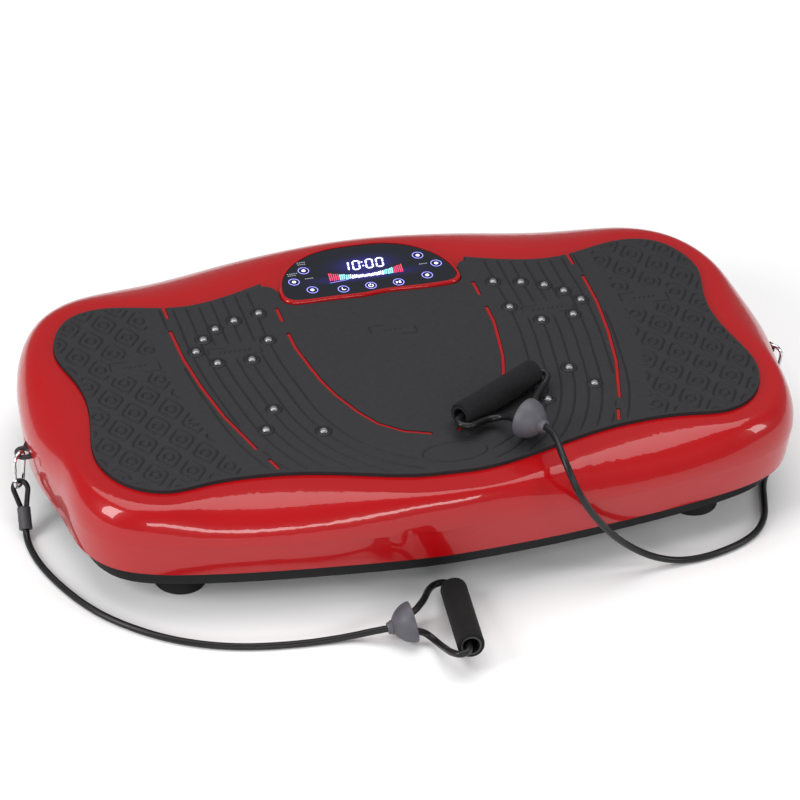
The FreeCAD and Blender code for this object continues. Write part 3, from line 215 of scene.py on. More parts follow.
def curve_length(obj):
    """The length of a curve's own line."""
    depth = obj.data.bevel_depth
    obj.data.bevel_depth = 0
    mesh = bpy.data.meshes.new_from_object(obj)
    obj.data.bevel_depth = depth
    spots = [v.co for v in mesh.vertices]
    bpy.data.meshes.remove(mesh)
    return sum((b - a).length for a, b in zip(spots, spots[1:]))


tubes = {}
for word, points in (("left", LEFT_TUBE), ("right", RIGHT_TUBE)):
    tubes[word] = tube("tube_" + word, points, tube_thick)
    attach(tubes[word], "deck")
    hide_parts("band_tube_" + word)

# ---------------------------------------------------------------- grip straps
# The same tube makes a loop: out of the stopper's flat face, through the bore of the foam
# grip, and back into the face. Knots inside the stopper hold both ends.

LEFT_STRAP = [
    (-68.5, -248.5, 18.5), (-60, -244, 19.8), (-53, -236.5, 19.2), (-46.5, -227.5, 16.8),
    (-41.5, -218.5, 14.2), (-36.5, -209.8, 11.6), (-30.3, -202.7, 9.6), (-22.6, -200.6, 9.8),
    (-17.1, -203, 10.5), (-14.3, -208.4, 11.3), (-15.6, -220, 13.1), (-18.9, -235.5, 15.4),
    (-21.4, -257.1, 19.3), (-25.6, -278.4, 22.4), (-28.4, -296, 25.4), (-31.2, -307.5, 27),
    (-32.6, -313, 27.7), (-36.2, -317, 27.4), (-41.9, -317, 26.4), (-46, -311.9, 24.4),
    (-47.6, -304.5, 20.8), (-47.3, -296.5, 16.4), (-47.9, -285, 11), (-49.2, -274.5, 7.5),
    (-53, -266.5, 8.2), (-60, -264, 13), (-69.5, -265.5, 16.5)]
RIGHT_STRAP = [
    (61.3, -149, 133.9), (58.7, -142, 133), (55.2, -132, 129), (49.5, -125, 124.8),
    (39.5, -123.8, 123.3), (29, -129.2, 125.5), (19, -135.2, 127.3), (12.5, -133.5, 127.6),
    (9.6, -128.3, 127.6), (11.6, -122.8, 127.3), (19.5, -116.4, 127.3),
    (35.4, -107.7, 127.2), (55.7, -94.8, 127.5), (76.9, -83.7, 127.2), (92, -74.1, 127.5),
    (102.6, -70.3, 127.3), (108, -72.3, 127.2), (110, -77.8, 127), (107.2, -83.5, 126),
    (101, -89.8, 125), (94.3, -97.5, 125), (88.5, -106, 127), (83.5, -115.5, 129.5),
    (79.5, -125.5, 132), (77.3, -133.5, 133.3), (75.5, -139.8, 133.9)]

straps = {}
for word, points in (("left", LEFT_STRAP), ("right", RIGHT_STRAP)):
    straps[word] = tube("strap_" + word, points, tube_thick)
    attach(straps[word], "deck")
    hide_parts("band_strap_" + word)

# ---------------------------------------------------------------- stoppers
# A half ball of dark grey rubber with a moulded lip and a ringed neck, pushed over the tube
# so that the knot behind its flat face cannot pull through.

stopper_rubber = grain(shader("stopper_rubber", (0.075, 0.073, 0.088), 0.5), 1400, 0.00006, 0.4,
                       0.12, 0.07)
# Distance from the axis, then depth behind the flat face, in millimetres.
STOPPER_OUTLINE = [
    (0, 0.5), (3, 0.45), (12, 0.35), (15.2, 0.3), (15.8, 0.0), (17.6, 0.0), (18.1, 0.2),
    (18.3, 0.8), (18.2, 2.4), (17.9, 4.2), (17.2, 6.6), (16.1, 9.0), (14.6, 11.4),
    (12.8, 13.6), (10.7, 15.6), (8.9, 17.0), (7.6, 17.9), (6.6, 18.3), (6.2, 18.7),
    (6.5, 19.2), (6.5, 20.2), (6.1, 20.6), (5.5, 20.9), (5.4, 23.0), (5.0, 23.5), (0, 23.5)]
STOPPERS = {"left": ((-65.1, -256.1, 18.6), (0.984, -0.015, 0.177)),
            "right": ((66.8, -141.9, 133.7), (-0.538, 0.840, -0.070))}


def turned(name, outline, place, axis, material, steps=64):
    """A turned piece: its outline's depth runs back along the axis from its place."""
    bm = bmesh.new()
    rings = []
    for radius, depth in outline:
        if radius == 0:
            rings.append([bm.verts.new((0, 0, -depth * MM))])
            continue
        rings.append([bm.verts.new((radius * MM * math.cos(math.tau * k / steps),
                                    radius * MM * math.sin(math.tau * k / steps), -depth * MM))
                      for k in range(steps)])
    pairs = list(zip(rings, rings[1:]))
    if len(rings[0]) > 1 and len(rings[-1]) > 1:
        pairs.append((rings[-1], rings[0]))
    for near, far in pairs:
        for k in range(steps):
            ahead = (k + 1) % steps
            corners = [near[k % len(near)], near[ahead % len(near)],
                       far[ahead % len(far)], far[k % len(far)]]
            bm.faces.new(list(dict.fromkeys(corners)))
    bmesh.ops.recalc_face_normals(bm, faces=bm.faces)
    mesh = bpy.data.meshes.new(name)
    pose = Vector(axis).normalized().to_track_quat("Z", "Y").to_matrix().to_4x4()
    bm.transform(Matrix.Translation(Vector(place) * MM) @ pose)
    bm.to_mesh(mesh)
    bm.free()
    return place_mesh(name, mesh, material)


def place_mesh(name, mesh, material, smooth_angle=38):
    """Put a finished mesh in the scene with soft shading below its sharp corners."""
    mesh.materials.append(material)
    mesh.shade_smooth()
    obj = bpy.data.objects.new(name, mesh)
    bpy.context.scene.collection.objects.link(obj)
    mesh.set_sharp_from_angle(angle=math.radians(smooth_angle))
    return obj


stoppers = {}
for word, (place, axis) in STOPPERS.items():
    stoppers[word] = turned("stopper_" + word, STOPPER_OUTLINE, place, axis, stopper_rubber, 72)
    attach(stoppers[word], "deck")
    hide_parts("band_stopper_" + word)

# ---------------------------------------------------------------- foam grips
# A sleeve of closed-cell foam on a plastic tube. The foam is pushed on, rounds over at its
# ends and shows a fine open-pored skin.

foam = grain(shader("grip_foam", (0.007, 0.007, 0.008), 0.86, Specular_IOR_Level=0.2,
                    Sheen_Weight=0.03,
                    Sheen_Roughness=0.5), 2600, 0.00022, 0.7, 0.2, 0.06)
core_plastic = grain(shader("grip_core_plastic", (0.02, 0.02, 0.021), 0.42), 900, 0.00004, 0.3)
grip_half = 49.0
GRIP_OUTLINE = [
    (9.0, 0.3), (9.6, 0.1), (10.4, 0.1), (11.2, 0.5), (11.8, 1.3), (12.0, 2.6), (11.95, 12),
    (12.0, 26), (11.92, 40), (12.0, 49), (11.93, 58), (12.0, 72), (11.95, 86), (12.0, 95.4),
    (11.8, 96.7), (11.2, 97.5), (10.4, 97.9), (9.6, 97.9), (9.0, 97.7), (9.0, 49)]
GRIPS = {"left": ((-22.5, -261.95, 20.0), (-0.1514, -0.9762, 0.1578)),
         "right": ((56.75, -94.75, 127.4), (0.8665, 0.4992, 0.0))}
grips = {}
for word, (middle, axis) in GRIPS.items():
    top = Vector(middle) + Vector(axis).normalized() * grip_half
    grips[word] = turned("foam_" + word, GRIP_OUTLINE, top, axis, foam, 72)
    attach(grips[word], "grip_" + word)
    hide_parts("grip_foam_" + word)
    dress(core_plastic, "grip_core_" + word)

# ---------------------------------------------------------------- eyes, sleeves and snap hooks
# The tube's end is folded into an eye and crimped in a shrunk sleeve. A plated spring-wire
# snap hook joins the eye to a flat nylon tab that sticks out of the shell's end.

sleeve_rubber = grain(shader("shrunk_sleeve", (0.04, 0.04, 0.045), 0.55), 1600, 0.00006, 0.35, 0.1)
plated = grain(shader("plated_wire", (0.72, 0.72, 0.74), 0.18, Metallic=1.0), 700, 0.00003, 0.2,
               0.05, 0.05, (1, 1, 0.2))
tab_nylon = grain(shader("tab_nylon", (0.025, 0.025, 0.027), 0.5), 1800, 0.00005, 0.4, 0.15, 0.1)
sleeve_top = Vector((358.8, -26.0, 22.0))
sleeve_foot = Vector((360.2, -41.5, 8.0))
SLEEVE_OUTLINE = [
    (0, 0.7), (4.6, 0.6), (4.9, 0.15), (5.4, 0.15), (5.85, 0.5), (6.0, 1.1), (6.0, 5.4),
    (5.85, 5.9), (5.8, 6.5), (5.95, 7.0), (6.0, 7.5), (6.0, 13.6), (5.85, 14.1), (5.8, 14.7),
    (5.95, 15.2), (6.0, 15.8), (6.0, 19.8), (5.85, 20.4), (5.4, 20.8), (4.9, 20.8), (4.6, 20.4),
    (0, 20.3)]
for side, word in ((-1, "left"), (1, "right")):
    flip = Vector((side, 1, 1))
    sleeve = turned("sleeve_" + word, SLEEVE_OUTLINE, sleeve_top * flip,
                    (sleeve_top - sleeve_foot) * flip, sleeve_rubber, 48)
    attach(sleeve, "deck")
    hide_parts("band_sleeve_" + word)
    dress(band_rubber, "band_eye_" + word)
    dress(plated, "snap_hook_" + word, "hook_gate_" + word)
    dress(tab_nylon, "anchor_tab_" + word)
    curve_length(tubes[word])
    curve_length(straps[word])

# ---------------------------------------------------------------- red shells
# Two glossy mouldings of through-coloured ABS with a clear lacquer. They meet at a fine
# seam; the upper one holds the mat's pocket and the panel's raised frame.

candy_red = grain(shader("candy_red_abs", (0.36, 0.001, 0.003), 0.3, Coat_Weight=0.7,
                         Coat_Roughness=0.03, Specular_IOR_Level=0.15), 45, 0.00012, 0.12, 0.06,
                  0.03)
dress(candy_red, "top_shell", "lower_shell")

# ---------------------------------------------------------------- foot mat
# One sheet of charcoal rubber. Curved ribs follow the two long slots, a lattice of rounded
# cells with rings covers both wings, and the middle has fine pips. All are moulded in. The
# raised relief is drawn in a darker copy of the same rubber, as painted shade.

mat_rubber = grain(shader("mat_rubber", (0.022, 0.022, 0.024), 0.6, Specular_IOR_Level=0.22),
                   2200, 0.00008, 0.45, 0.08, 0.08)
# The relief's rubber is the mat's rubber made darker: painted shade for the shadows along the
# raised ribs, cells, rings, brackets, marks and stud bosses.
shaded_relief_rubber = grain(shader("mat_relief_painted_shade", (0.013, 0.013, 0.014), 0.45,
                               Specular_IOR_Level=0.22), 2200, 0.00008, 0.4,
                      0.1, 0.08)
dress(mat_rubber, "foot_mat")
mat_mesh = nodes["foot_mat"].data
mat_tree = BVHTree.FromPolygons([v.co.copy() for v in mat_mesh.vertices],
                                [list(p.vertices) for p in mat_mesh.polygons])
mat_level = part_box("foot_mat")[1][2]
COMPASS = [(math.cos(math.tau * k / 8), math.sin(math.tau * k / 8)) for k in range(8)]


def on_mat(x, y, margin):
    """Whether a spot, in millimetres, and all round it is rubber."""
    for dx, dy in [(0, 0)] + COMPASS:
        origin = Vector(((x + dx * margin) * MM, (y + dy * margin) * MM, mat_level + 0.05))
        hit = mat_tree.ray_cast(origin, Vector((0, 0, -1)), 0.0505)
        if hit[0] is None:
            return False
    return True


def pieces_on_mat(points, margin, spared=()):
    """The stretches of a line that lie on rubber and outside the spared boxes."""
    runs = [[]]
    for x, y in points:
        blocked = any(abs(x - cx) < hx and abs(y - cy) < hy for cx, cy, hx, hy in spared)
        if not blocked and on_mat(x, y, margin):
            runs[-1].append((x, y))
        elif runs[-1]:
            runs.append([])
    return [run for run in runs if len(run) > 2]


def ridges(name, lines, foot, crest, tall, material):
    """Low moulded ridges with sloping sides along the lines, all in one piece."""
    bm = bmesh.new()
    profile = ((-foot, -0.15), (-crest, tall), (crest, tall), (foot, -0.15))
    for line in lines:
        spots = [Vector((x, y, 0)) for x, y in line]
        rows = []
        for i, spot in enumerate(spots):
            ahead = spots[min(i + 1, len(spots) - 1)]
            behind = spots[max(i - 1, 0)]
            way = (ahead - behind).normalized()
            across = Vector((-way.y, way.x, 0))
            fade = 0.2 if i in (0, len(spots) - 1) and (spots[0] - spots[-1]).length > 1e-6 else 1
            rows.append([])
            for off, up in profile:
                height = mat_level + (up * fade if up > 0 else up) * MM
                rows[-1].append(bm.verts.new((spot + across * off) * MM + Vector((0, 0, height))))
        for near, far in zip(rows, rows[1:]):
            for k in range(3):
                bm.faces.new((near[k], near[k + 1], far[k + 1], far[k]))
        bm.faces.new(rows[0])
        bm.faces.new(rows[-1][::-1])
    bmesh.ops.recalc_face_normals(bm, faces=bm.faces)
    mesh = bpy.data.meshes.new(name)
    bm.to_mesh(mesh)
    bm.free()
    obj = place_mesh(name, mesh, material, 60)
    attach(obj, "deck")
    return obj


def smooth_line(points, step=3.0):
    """A curve through the points, sampled about every step millimetres."""
    spots = [Vector((x, y)) for x, y in points]
    full = [spots[0] * 2 - spots[1]] + spots + [spots[-1] * 2 - spots[-2]]
    out = []
    for a, b, c, d in zip(full, full[1:], full[2:], full[3:]):
        count = max(2, int((c - b).length / step))
        for k in range(count):
            t = k / count
            out.append(0.5 * ((2 * b) + (c - a) * t + (2 * a - 5 * b + 4 * c - d) * t ** 2
                              + (3 * b - a - 3 * c + d) * t ** 3))
    return out + [spots[-1]]


# Curved ribs, evenly spaced outwards from the inner slot.
rib_pitch = 12.2
rib_count = 8
U_PATH = [(103, 140), (103, 82), (103.5, 50), (101, 10), (97, -20), (88, -70), (70, -110),
          (45, -135), (12, -151), (0, -153)]
plate_boxes = [(149.5, 36.5, 26, 9.5)]
rib_lines = []
u_line = smooth_line(U_PATH)
for k in range(1, rib_count + 1):
    shifted = []
    for i, spot in enumerate(u_line):
        ahead = u_line[min(i + 1, len(u_line) - 1)]
        behind = u_line[max(i - 1, 0)]
        way = (ahead - behind).normalized()
        shifted.append((spot.x - way.y * k * rib_pitch, spot.y + way.x * k * rib_pitch))
    shifted = [(x, y) for x, y in shifted if x > 31 or y > -100]
    for run in pieces_on_mat(shifted, 1.8, plate_boxes):
        rib_lines.append(run)
        rib_lines.append([(-x, y) for x, y in run])
ridges("mat_ribs", rib_lines, 1.0, 0.45, 0.6, shaded_relief_rubber)

# The wings' lattice of rounded cells, each with a ring in its middle.
cell_centre = Vector((294.5, -77.4))
cell_step_a = Vector((-15.6, -23.4))
cell_step_b = Vector((-17.2, 21.9))
cell_half = 10.1
cell_corner = 4.2
ring_radius = 4.4
wing_plate = (243.0, 33.5, 25.0, 12.5)
OUTER_SLOT = [(214, 130), (214, 88), (216, 68), (215, 20), (210, -30), (200, -80), (188, -125),
              (178, -150), (166, -182)]
outer_line = smooth_line(OUTER_SLOT)


def outside_slot(x, y):
    nearest = min(outer_line, key=lambda spot: abs(spot.y - y))
    return x > nearest.x + 3.5


def cell_outline():
    """A rounded square, as fractions along the lattice's two directions."""
    spots = []
    flat = cell_half - cell_corner
    for quarter, (sx, sy) in enumerate(((1, 1), (-1, 1), (-1, -1), (1, -1))):
        for k in range(5):
            angle = math.pi / 2 * (quarter + k / 4)
            spots.append((sx * flat + cell_corner * math.cos(angle),
                          sy * flat + cell_corner * math.sin(angle)))
    return spots + spots[:1]


def dense(points, step=1.6):
    out = []
    for (x0, y0), (x1, y1) in zip(points, points[1:]):
        count = max(1, int(math.hypot(x1 - x0, y1 - y0) / step))
        out += [(x0 + (x1 - x0) * k / count, y0 + (y1 - y0) * k / count) for k in range(count)]
    return out + [points[-1]]


along_a = cell_step_a.normalized()
along_b = cell_step_b.normalized()
square = dense(cell_outline())
circle = [(ring_radius * math.cos(math.tau * k / 22), ring_radius * math.sin(math.tau * k / 22))
          for k in range(23)]
cell_lines = []
ring_lines = []
for i in range(-7, 12):
    for j in range(-7, 12):
        centre = cell_centre + cell_step_a * i + cell_step_b * j
        if not (120 < centre.x < 330 and -190 < centre.y < 170):
            continue
        if abs(centre.x - wing_plate[0]) < 29 and abs(centre.y - wing_plate[1]) < 13:
            continue
        outline = [centre + along_a * a + along_b * b for a, b in square]
        outline = [(spot.x, spot.y) if outside_slot(spot.x, spot.y) else (0.0, 500.0)
                   for spot in outline]
        ring = [(centre.x + a, centre.y + b) if outside_slot(centre.x + a, centre.y + b)
                else (0.0, 500.0) for a, b in circle]
        for source, found in ((outline, cell_lines), (ring, ring_lines)):
            for run in pieces_on_mat(source, 2.2, [wing_plate]):
                found.append(run)
                found.append([(-x, y) for x, y in run])
ridges("mat_cells", cell_lines, 1.15, 0.45, 0.7, shaded_relief_rubber)
ridges("mat_cell_rings", ring_lines, 1.1, 0.55, 0.7, shaded_relief_rubber)

# Corner brackets round the three kinds of label place, plain dash marks in them, and the
# oval pad at the front.
bracket_lines = []
mark_lines = []
LABELS = [(243, 33.5, 22, 9.5, 5), (-243, 33.5, 22, 9.5, 5), (0, 36.5, 21, 8.5, 4),
          (149.5, 36.5, 24, 7.0, 7), (-149.5, 36.5, 24, 7.0, 7)]
for cx, cy, hx, hy, marks in LABELS:
    for sx, sy in ((-1, 1), (1, -1)):
        corner = [(cx + sx * (hx - 16), cy + sy * hy), (cx + sx * (hx - 1), cy + sy * hy),
                  (cx + sx * hx, cy + sy * (hy - 1)), (cx + sx * hx, cy - sy * (hy - 6))]
        bracket_lines.append(dense(corner))
    for k in range(marks):
        x = cx + (k - (marks - 1) / 2) * 4.6
        mark_lines.append([(x - 1.3, cy - 1.2), (x, cy), (x + 1.3, cy + 1.2)])
oval = [(29.5 * math.cos(math.tau * k / 60), -152 + 13.5 * math.sin(math.tau * k / 60))
        for k in range(61)]
bracket_lines += pieces_on_mat(oval, 1.0)
ridges("mat_brackets", bracket_lines, 0.8, 0.35, 0.45, shaded_relief_rubber)
ridges("mat_marks", mark_lines, 0.8, 0.4, 0.5, shaded_relief_rubber)

# Small pips in the middle zone, scattered on a loose grid.
pips = random.Random(7)
PIP_OUTLINE = [(0, -0.35), (0.4, -0.3), (0.7, -0.12), (0.85, 0.1)]


def inside_u(x, y, margin):
    return all(math.hypot(abs(x) - spot.x, y - spot.y) > margin for spot in u_line) and any(
        spot.x > abs(x) + margin and abs(spot.y - y) < 3 for spot in u_line)


def repeated(name, outline, spots, level, material, steps):
    """Many small turned shapes in one piece, at places on the mat."""
    bm = bmesh.new()
    for x, y in spots:
        rings = []
        for radius, depth in outline:
            count = 1 if radius == 0 else steps
            rings.append([bm.verts.new(((x + radius * math.cos(math.tau * k / steps)) * MM,
                                        (y + radius * math.sin(math.tau * k / steps)) * MM,
                                        level - depth * MM)) for k in range(count)])
        for near, far in zip(rings, rings[1:]):
            for k in range(steps):
                ahead = (k + 1) % steps
                corners = [near[k % len(near)], near[ahead % len(near)],
                           far[ahead % len(far)], far[k % len(far)]]
                bm.faces.new(list(dict.fromkeys(corners)))
    bmesh.ops.recalc_face_normals(bm, faces=bm.faces)
    mesh = bpy.data.meshes.new(name)
    bm.to_mesh(mesh)
    bm.free()
    obj = place_mesh(name, mesh, material, 50)
    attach(obj, "deck")
    return obj


pip_spots = []
for i in range(-10, 11):
    for j in range(-14, 10):
        x = i * 9.4 + pips.uniform(-2.6, 2.6)
        y = j * 9.4 + pips.uniform(-2.6, 2.6)
        near_label = abs(x) < 25 and abs(y - 36.5) < 13
        if not near_label and inside_u(x, y, 6) and on_mat(x, y, 3):
            pip_spots.append((x, y))
repeated("mat_pips", PIP_OUTLINE, pip_spots, mat_level, mat_rubber, 8)

# ---------------------------------------------------------------- massage studs
# Polished steel domes pressed into the rubber, each in a raised rubber boss.

STUD_SPOTS = [(113.2, 88.7), (138.2, 82.1), (158.1, 73.0), (172.8, 59.8), (184.0, 42.9),
              (115.6, 46.3), (169.5, 22.2), (137.8, 20.4), (138.5, -56.1), (153.3, -84.1),
              (104.4, -97.3)]
BOSS_OUTLINE = [(8.2, 0.15), (7.9, -0.25), (7.3, -0.7), (6.6, -1.0), (5.6, -1.35), (4.9, -1.5),
                (4.4, -1.35), (4.15, -0.7), (4.1, 0.15)]
both_sides = [(side * x, y) for side in (-1, 1) for x, y in STUD_SPOTS]
# The bosses take the darker relief rubber, which is painted shade.
repeated("stud_bosses", BOSS_OUTLINE, both_sides, mat_level, shaded_relief_rubber, 32)
stud_steel = grain(shader("stud_steel", (0.27, 0.27, 0.28), 0.42, Metallic=1.0), 1200,
                   0.00004, 0.35, 0.1, 0.08)
dress(stud_steel, "massage_studs")

# ---------------------------------------------------------------- control panel
# Black printed glass over a lit display. The digits, the bar graph and the touch rings
# shine through windows in the print.

glass_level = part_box("panel_glass")[1][2]
panel_glass = grain(shader("printed_glass", (0.006, 0.008, 0.013), 0.08, Coat_Weight=0.2,
                           Coat_Roughness=0.02, Specular_IOR_Level=0.4), 30, 0.00005, 0.05)
tree = panel_glass.node_tree
spot = tree.nodes.new("ShaderNodeTexCoord")
split = tree.nodes.new("ShaderNodeSeparateXYZ")
wire(panel_glass, spot.outputs["Object"], split.inputs["Vector"])


def math_node(kind, first, second):
    """One sum in the glow's formula; a plain number or a socket on either side."""
    node = tree.nodes.new("ShaderNodeMath")
    node.operation = kind
    for place, value in ((0, first), (1, second)):
        if isinstance(value, (int, float)):
            node.inputs[place].default_value = value
        else:
            wire(panel_glass, value, node.inputs[place])
    return node.outputs[0]


def halo(x, y, wide, deep):
    """A soft spot of light in the print, strongest at its middle."""
    dx = math_node("DIVIDE", math_node("SUBTRACT", split.outputs["X"], x * MM), wide * MM)
    dy = math_node("DIVIDE", math_node("SUBTRACT", split.outputs["Y"], y * MM), deep * MM)
    far = math_node("ADD", math_node("MULTIPLY", dx, dx), math_node("MULTIPLY", dy, dy))
    return math_node("POWER", 2.718, math_node("MULTIPLY", far, -1.0))


digits_y = 140.3
bars_y = 120.3
glow = math_node("ADD", halo(3, digits_y, 22, 10), halo(0, bars_y + 2, 36, 5))
tree.nodes["Principled BSDF"].inputs["Emission Color"].default_value = (0.07, 0.04, 0.9, 1)
wire(panel_glass, math_node("MULTIPLY", glow, 0.3),
     tree.nodes["Principled BSDF"].inputs["Emission Strength"])
dress(panel_glass, "panel_glass")


def lit(name, colour, strength):
    """A shining print colour with a slightly uneven surface."""
    material = shader(name, colour, 0.4, Emission_Strength=strength)
    surface = material.node_tree.nodes["Principled BSDF"]
    surface.inputs["Emission Color"].default_value = (*colour, 1)
    return grain(material, 500, 0.00002, 0.1)


def print_on_glass(name, shapes, material, lift=0.06):
    """Flat shapes, each a list of corners in millimetres, as thin solids on the glass."""
    bm = bmesh.new()
    for corners in shapes:
        low = [bm.verts.new((x * MM, y * MM, glass_level - 0.05 * MM)) for x, y in corners]
        high = [bm.verts.new((x * MM, y * MM, glass_level + lift * MM)) for x, y in corners]
        bm.faces.new(high)
        bm.faces.new(low[::-1])
        for k in range(len(corners)):
            ahead = (k + 1) % len(corners)
            bm.faces.new((low[k], low[ahead], high[ahead], high[k]))
    bmesh.ops.recalc_face_normals(bm, faces=bm.faces)
    mesh = bpy.data.meshes.new(name)
    bm.to_mesh(mesh)
    bm.free()
    obj = place_mesh(name, mesh, material)
    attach(obj, "deck")
    return obj


digit_wide = 6.1
digit_tall = 13.4
bar_thick = 1.7
SEGMENTS = {"a": (0, 1, 1, 1), "b": (1, 0.5, 1, 1), "c": (1, 0, 1, 0.5), "d": (0, 0, 1, 0),
            "e": (0, 0, 0, 0.5), "f": (0, 0.5, 0, 1)}
DIGITS = ("bc", "abcdef", "abcdef", "abcdef")
DIGIT_STARTS = (-18.4, -7.8, 5.0, 15.0)


def segment(start, x0, y0, x1, y1):
    """One bar of a digit, pointed at both ends and leaning to the right."""
    first = Vector((start + x0 * digit_wide, digits_y + (y0 - 0.5) * digit_tall))
    last = Vector((start + x1 * digit_wide, digits_y + (y1 - 0.5) * digit_tall))
    way = (last - first).normalized()
    across = Vector((-way.y, way.x)) * bar_thick / 2
    first += way * 0.35
    last -= way * 0.35
    tip = way * bar_thick / 2
    spots = [first, first + tip - across, last - tip - across, last, last - tip + across,
             first + tip + across]
    return [(spot.x + (spot.y - digits_y) * 0.17, spot.y) for spot in spots]


digit_shapes = [segment(start, *SEGMENTS[key]) for start, keys in zip(DIGIT_STARTS, DIGITS)
                for key in keys]
COLON_DOT = ((0.7, 0), (2.4, 0), (2.6, 1.6), (0.9, 1.6))
for y in (digits_y - 3.0, digits_y + 3.0):
    digit_shapes.append([(x, y + up) for x, up in COLON_DOT])
lit_white = lit("lit_white", (0.72, 0.75, 1.0), 1.4)
print_on_glass("clock_digits", digit_shapes, lit_white)

bars = {"red": [], "teal": [], "white": []}
bar_count = 18
for k in range(-bar_count, bar_count + 1):
    share = k / bar_count
    x = share * 35.0
    foot_y = bars_y + 0.5 * share ** 2 + 0.4 * math.sin(2.1 * k)
    tall = 4.0 + 8.0 * abs(share) ** 1.6
    lean = 1.3
    shade = "red" if abs(share) > 0.74 else "teal" if abs(share) > 0.47 else "white"
    half = 0.5 if shade == "red" else 0.6
    bars[shade].append([(x - half, foot_y), (x + half, foot_y), (x + half + lean, foot_y + tall),
                        (x - half + lean, foot_y + tall)])
lit_red = lit("lit_red", (0.85, 0.05, 0.1), 0.75)
lit_teal = lit("lit_teal", (0.25, 0.8, 0.75), 0.9)
print_on_glass("bar_graph_red", bars["red"], lit_red)
print_on_glass("bar_graph_teal", bars["teal"], lit_teal)
print_on_glass("bar_graph_white", bars["white"], lit_white)

KEYS = [(-55.2, 142.4), (-68.7, 126.7), (-55.5, 110.8), (-27, 105.7), (-0.5, 105.6),
        (26.2, 105.3), (55.5, 110.2), (69.4, 126.9), (56.2, 143.2)]


def ring_quads(x, y, inner, outer, steps=28, share=1.0):
    """A ring, or part of one, as short four-cornered pieces."""
    shapes = []
    for k in range(int(steps * share)):
        a = math.tau * k / steps + 2.2
        b = math.tau * (k + 1) / steps + 2.2
        shapes.append([(x + inner * math.cos(a), y + inner * math.sin(a)),
                       (x + outer * math.cos(a), y + outer * math.sin(a)),
                       (x + outer * math.cos(b), y + outer * math.sin(b)),
                       (x + inner * math.cos(b), y + inner * math.sin(b))])
    return shapes


ring_shapes = []
sign_shapes = []
for index, (x, y) in enumerate(KEYS):
    ring_shapes += ring_quads(x, y, 4.6, 5.3)
    if index == 3:
        sign_shapes.append([(x - 1.2, y + 2.6), (x - 1.2, y - 1.4), (x - 0.4, y - 1.4),
                            (x - 0.4, y + 2.6)])
        sign_shapes.append([(x - 0.4, y - 1.4), (x + 2.2, y - 1.4), (x + 2.2, y - 0.6),
                            (x - 0.4, y - 0.6)])
    elif index == 4:
        sign_shapes += ring_quads(x, y, 1.8, 2.5, 20, 0.8)
        sign_shapes.append([(x - 0.4, y + 0.4), (x + 0.4, y + 0.4), (x + 0.4, y + 3.2),
                            (x - 0.4, y + 3.2)])
    elif index == 5:
        sign_shapes.append([(x - 2.4, y - 1.8), (x - 0.2, y), (x - 2.4, y + 1.8)])
        sign_shapes.append([(x + 0.4, y - 1.7), (x + 2.2, y - 1.7), (x + 2.2, y + 1.7),
                            (x + 0.4, y + 1.7)])
    else:
        sign_shapes.append([(x + 2.0 * math.cos(math.tau * k / 6),
                             y + 2.0 * math.sin(math.tau * k / 6)) for k in range(6)])
lit_violet = lit("lit_violet", (0.32, 0.3, 1.0), 0.9)
ring_shapes.append([(-36.4, 117.4), (-17.9, 119.3), (-17.9, 119.8), (-36.4, 117.9)])
print_on_glass("key_rings", ring_shapes, lit_violet)
print_on_glass("key_signs", sign_shapes, lit_white)

DASHES = [(-58.0, 155.6, 4), (-58.4, 152.5, 4), (-72.0, 139.8, 5), (-71.8, 136.9, 4),
          (-57.4, 129.2, 4), (53.2, 128.8, 4)]
dash_shapes = []
for x, y, count in DASHES:
    for k in range(count):
        left = x + k * 2.1
        dash_shapes.append([(left, y - 0.45), (left + 1.5, y - 0.45), (left + 1.5, y + 0.45),
                            (left, y + 0.45)])
dash_print = grain(shader("dash_print", (0.42, 0.43, 0.5), 0.5), 500, 0.00002, 0.1)
print_on_glass("panel_dashes", dash_shapes, dash_print, 0.04)

# ---------------------------------------------------------------- base, feet and back fittings
# A black tray of textured polypropylene on suction feet of soft rubber, screwed through the
# floor. The mains inlet and the rocker switch sit side by side on the back of the skirt.

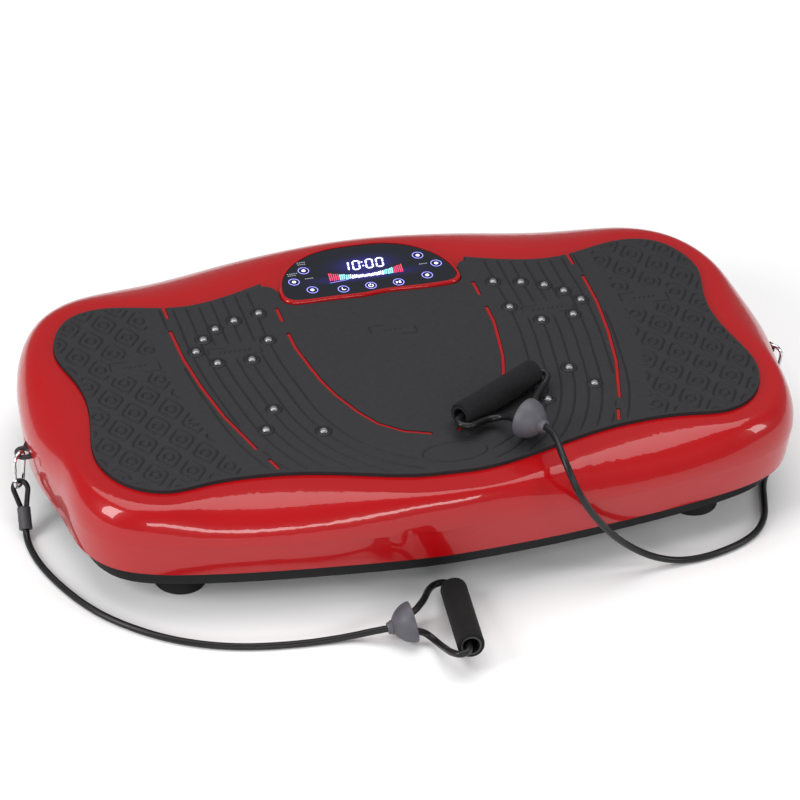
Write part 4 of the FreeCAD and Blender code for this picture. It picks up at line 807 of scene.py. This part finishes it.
tray_black = grain(shader("textured_black", (0.007, 0.007, 0.008), 0.55,
                          Specular_IOR_Level=0.2), 1500, 0.0001, 0.5, 0.15, 0.08)
foot_rubber = grain(shader("foot_rubber", (0.01, 0.01, 0.011), 0.62,
                           Specular_IOR_Level=0.2), 1100, 0.00008, 0.4, 0.12, 0.08)
socket_black = grain(shader("socket_black", (0.014, 0.014, 0.015), 0.3), 900, 0.00004, 0.3, 0.1,
                     0.05)
zinc = grain(shader("zinc_screws", (0.5, 0.5, 0.5), 0.35, Metallic=1.0), 1500, 0.00004, 0.3, 0.1,
             0.1)
dress(tray_black, "base_tray")
dress(foot_rubber, "suction_feet")
dress(socket_black, "mains_inlet", "switch_housing", "power_rocker")
dress(zinc, "shell_screws", "foot_screws", "deck_screws")

# ---------------------------------------------------------------- drive inside the housing
# Ground steel shafts, turned pulleys, cast blocks and rods, a painted motor and bracketry,
# bronze bushes, a ribbed belt and two circuit boards. None of it shows from outside.

ground_steel = grain(shader("ground_steel", (0.46, 0.46, 0.47), 0.28, Metallic=1.0), 900,
                     0.00003, 0.3, 0.08, 0.08, (0.1, 1, 1))
turned_alloy = grain(shader("turned_alloy", (0.62, 0.62, 0.63), 0.33, Metallic=1.0), 1400,
                     0.00004, 0.4, 0.08, 0.08)
cast_alloy = grain(shader("cast_alloy", (0.42, 0.42, 0.43), 0.5, Metallic=1.0), 1100, 0.00015,
                   0.6, 0.12, 0.1)
black_coat = grain(shader("black_powder_coat", (0.02, 0.02, 0.021), 0.45), 1300, 0.0001, 0.5,
                   0.1, 0.08)
bronze = grain(shader("sintered_bronze", (0.42, 0.26, 0.1), 0.45, Metallic=1.0), 1600, 0.00008,
               0.6, 0.15, 0.1)
belt_rubber = grain(shader("belt_rubber", (0.02, 0.02, 0.02), 0.7), 1300, 0.0001, 0.5, 0.1)
board_green = grain(shader("board_green", (0.01, 0.09, 0.035), 0.35), 420, 0.00006, 0.4, 0.3,
                    0.08)
white_nylon = grain(shader("white_nylon", (0.62, 0.62, 0.58), 0.5), 1200, 0.00005, 0.3, 0.05)
dress(ground_steel, "crankshaft", "motor_shaft", "pivot_pins", "rod_pins", "eccentric_left",
      "eccentric_right", "shaft_bearings")
dress(turned_alloy, "crank_pulley", "motor_pulley")
dress(cast_alloy, "bearing_blocks", "connecting_rod_left", "connecting_rod_right")
dress(black_coat, "motor_can", "motor_bracket", "pivot_bracket_front", "pivot_bracket_rear",
      "deck_plate")
dress(bronze, "pivot_bushes")
dress(belt_rubber, "drive_belt")
dress(board_green, "control_board", "display_board")
dress(white_nylon, "board_standoffs")

bpy.context.view_layer.update()
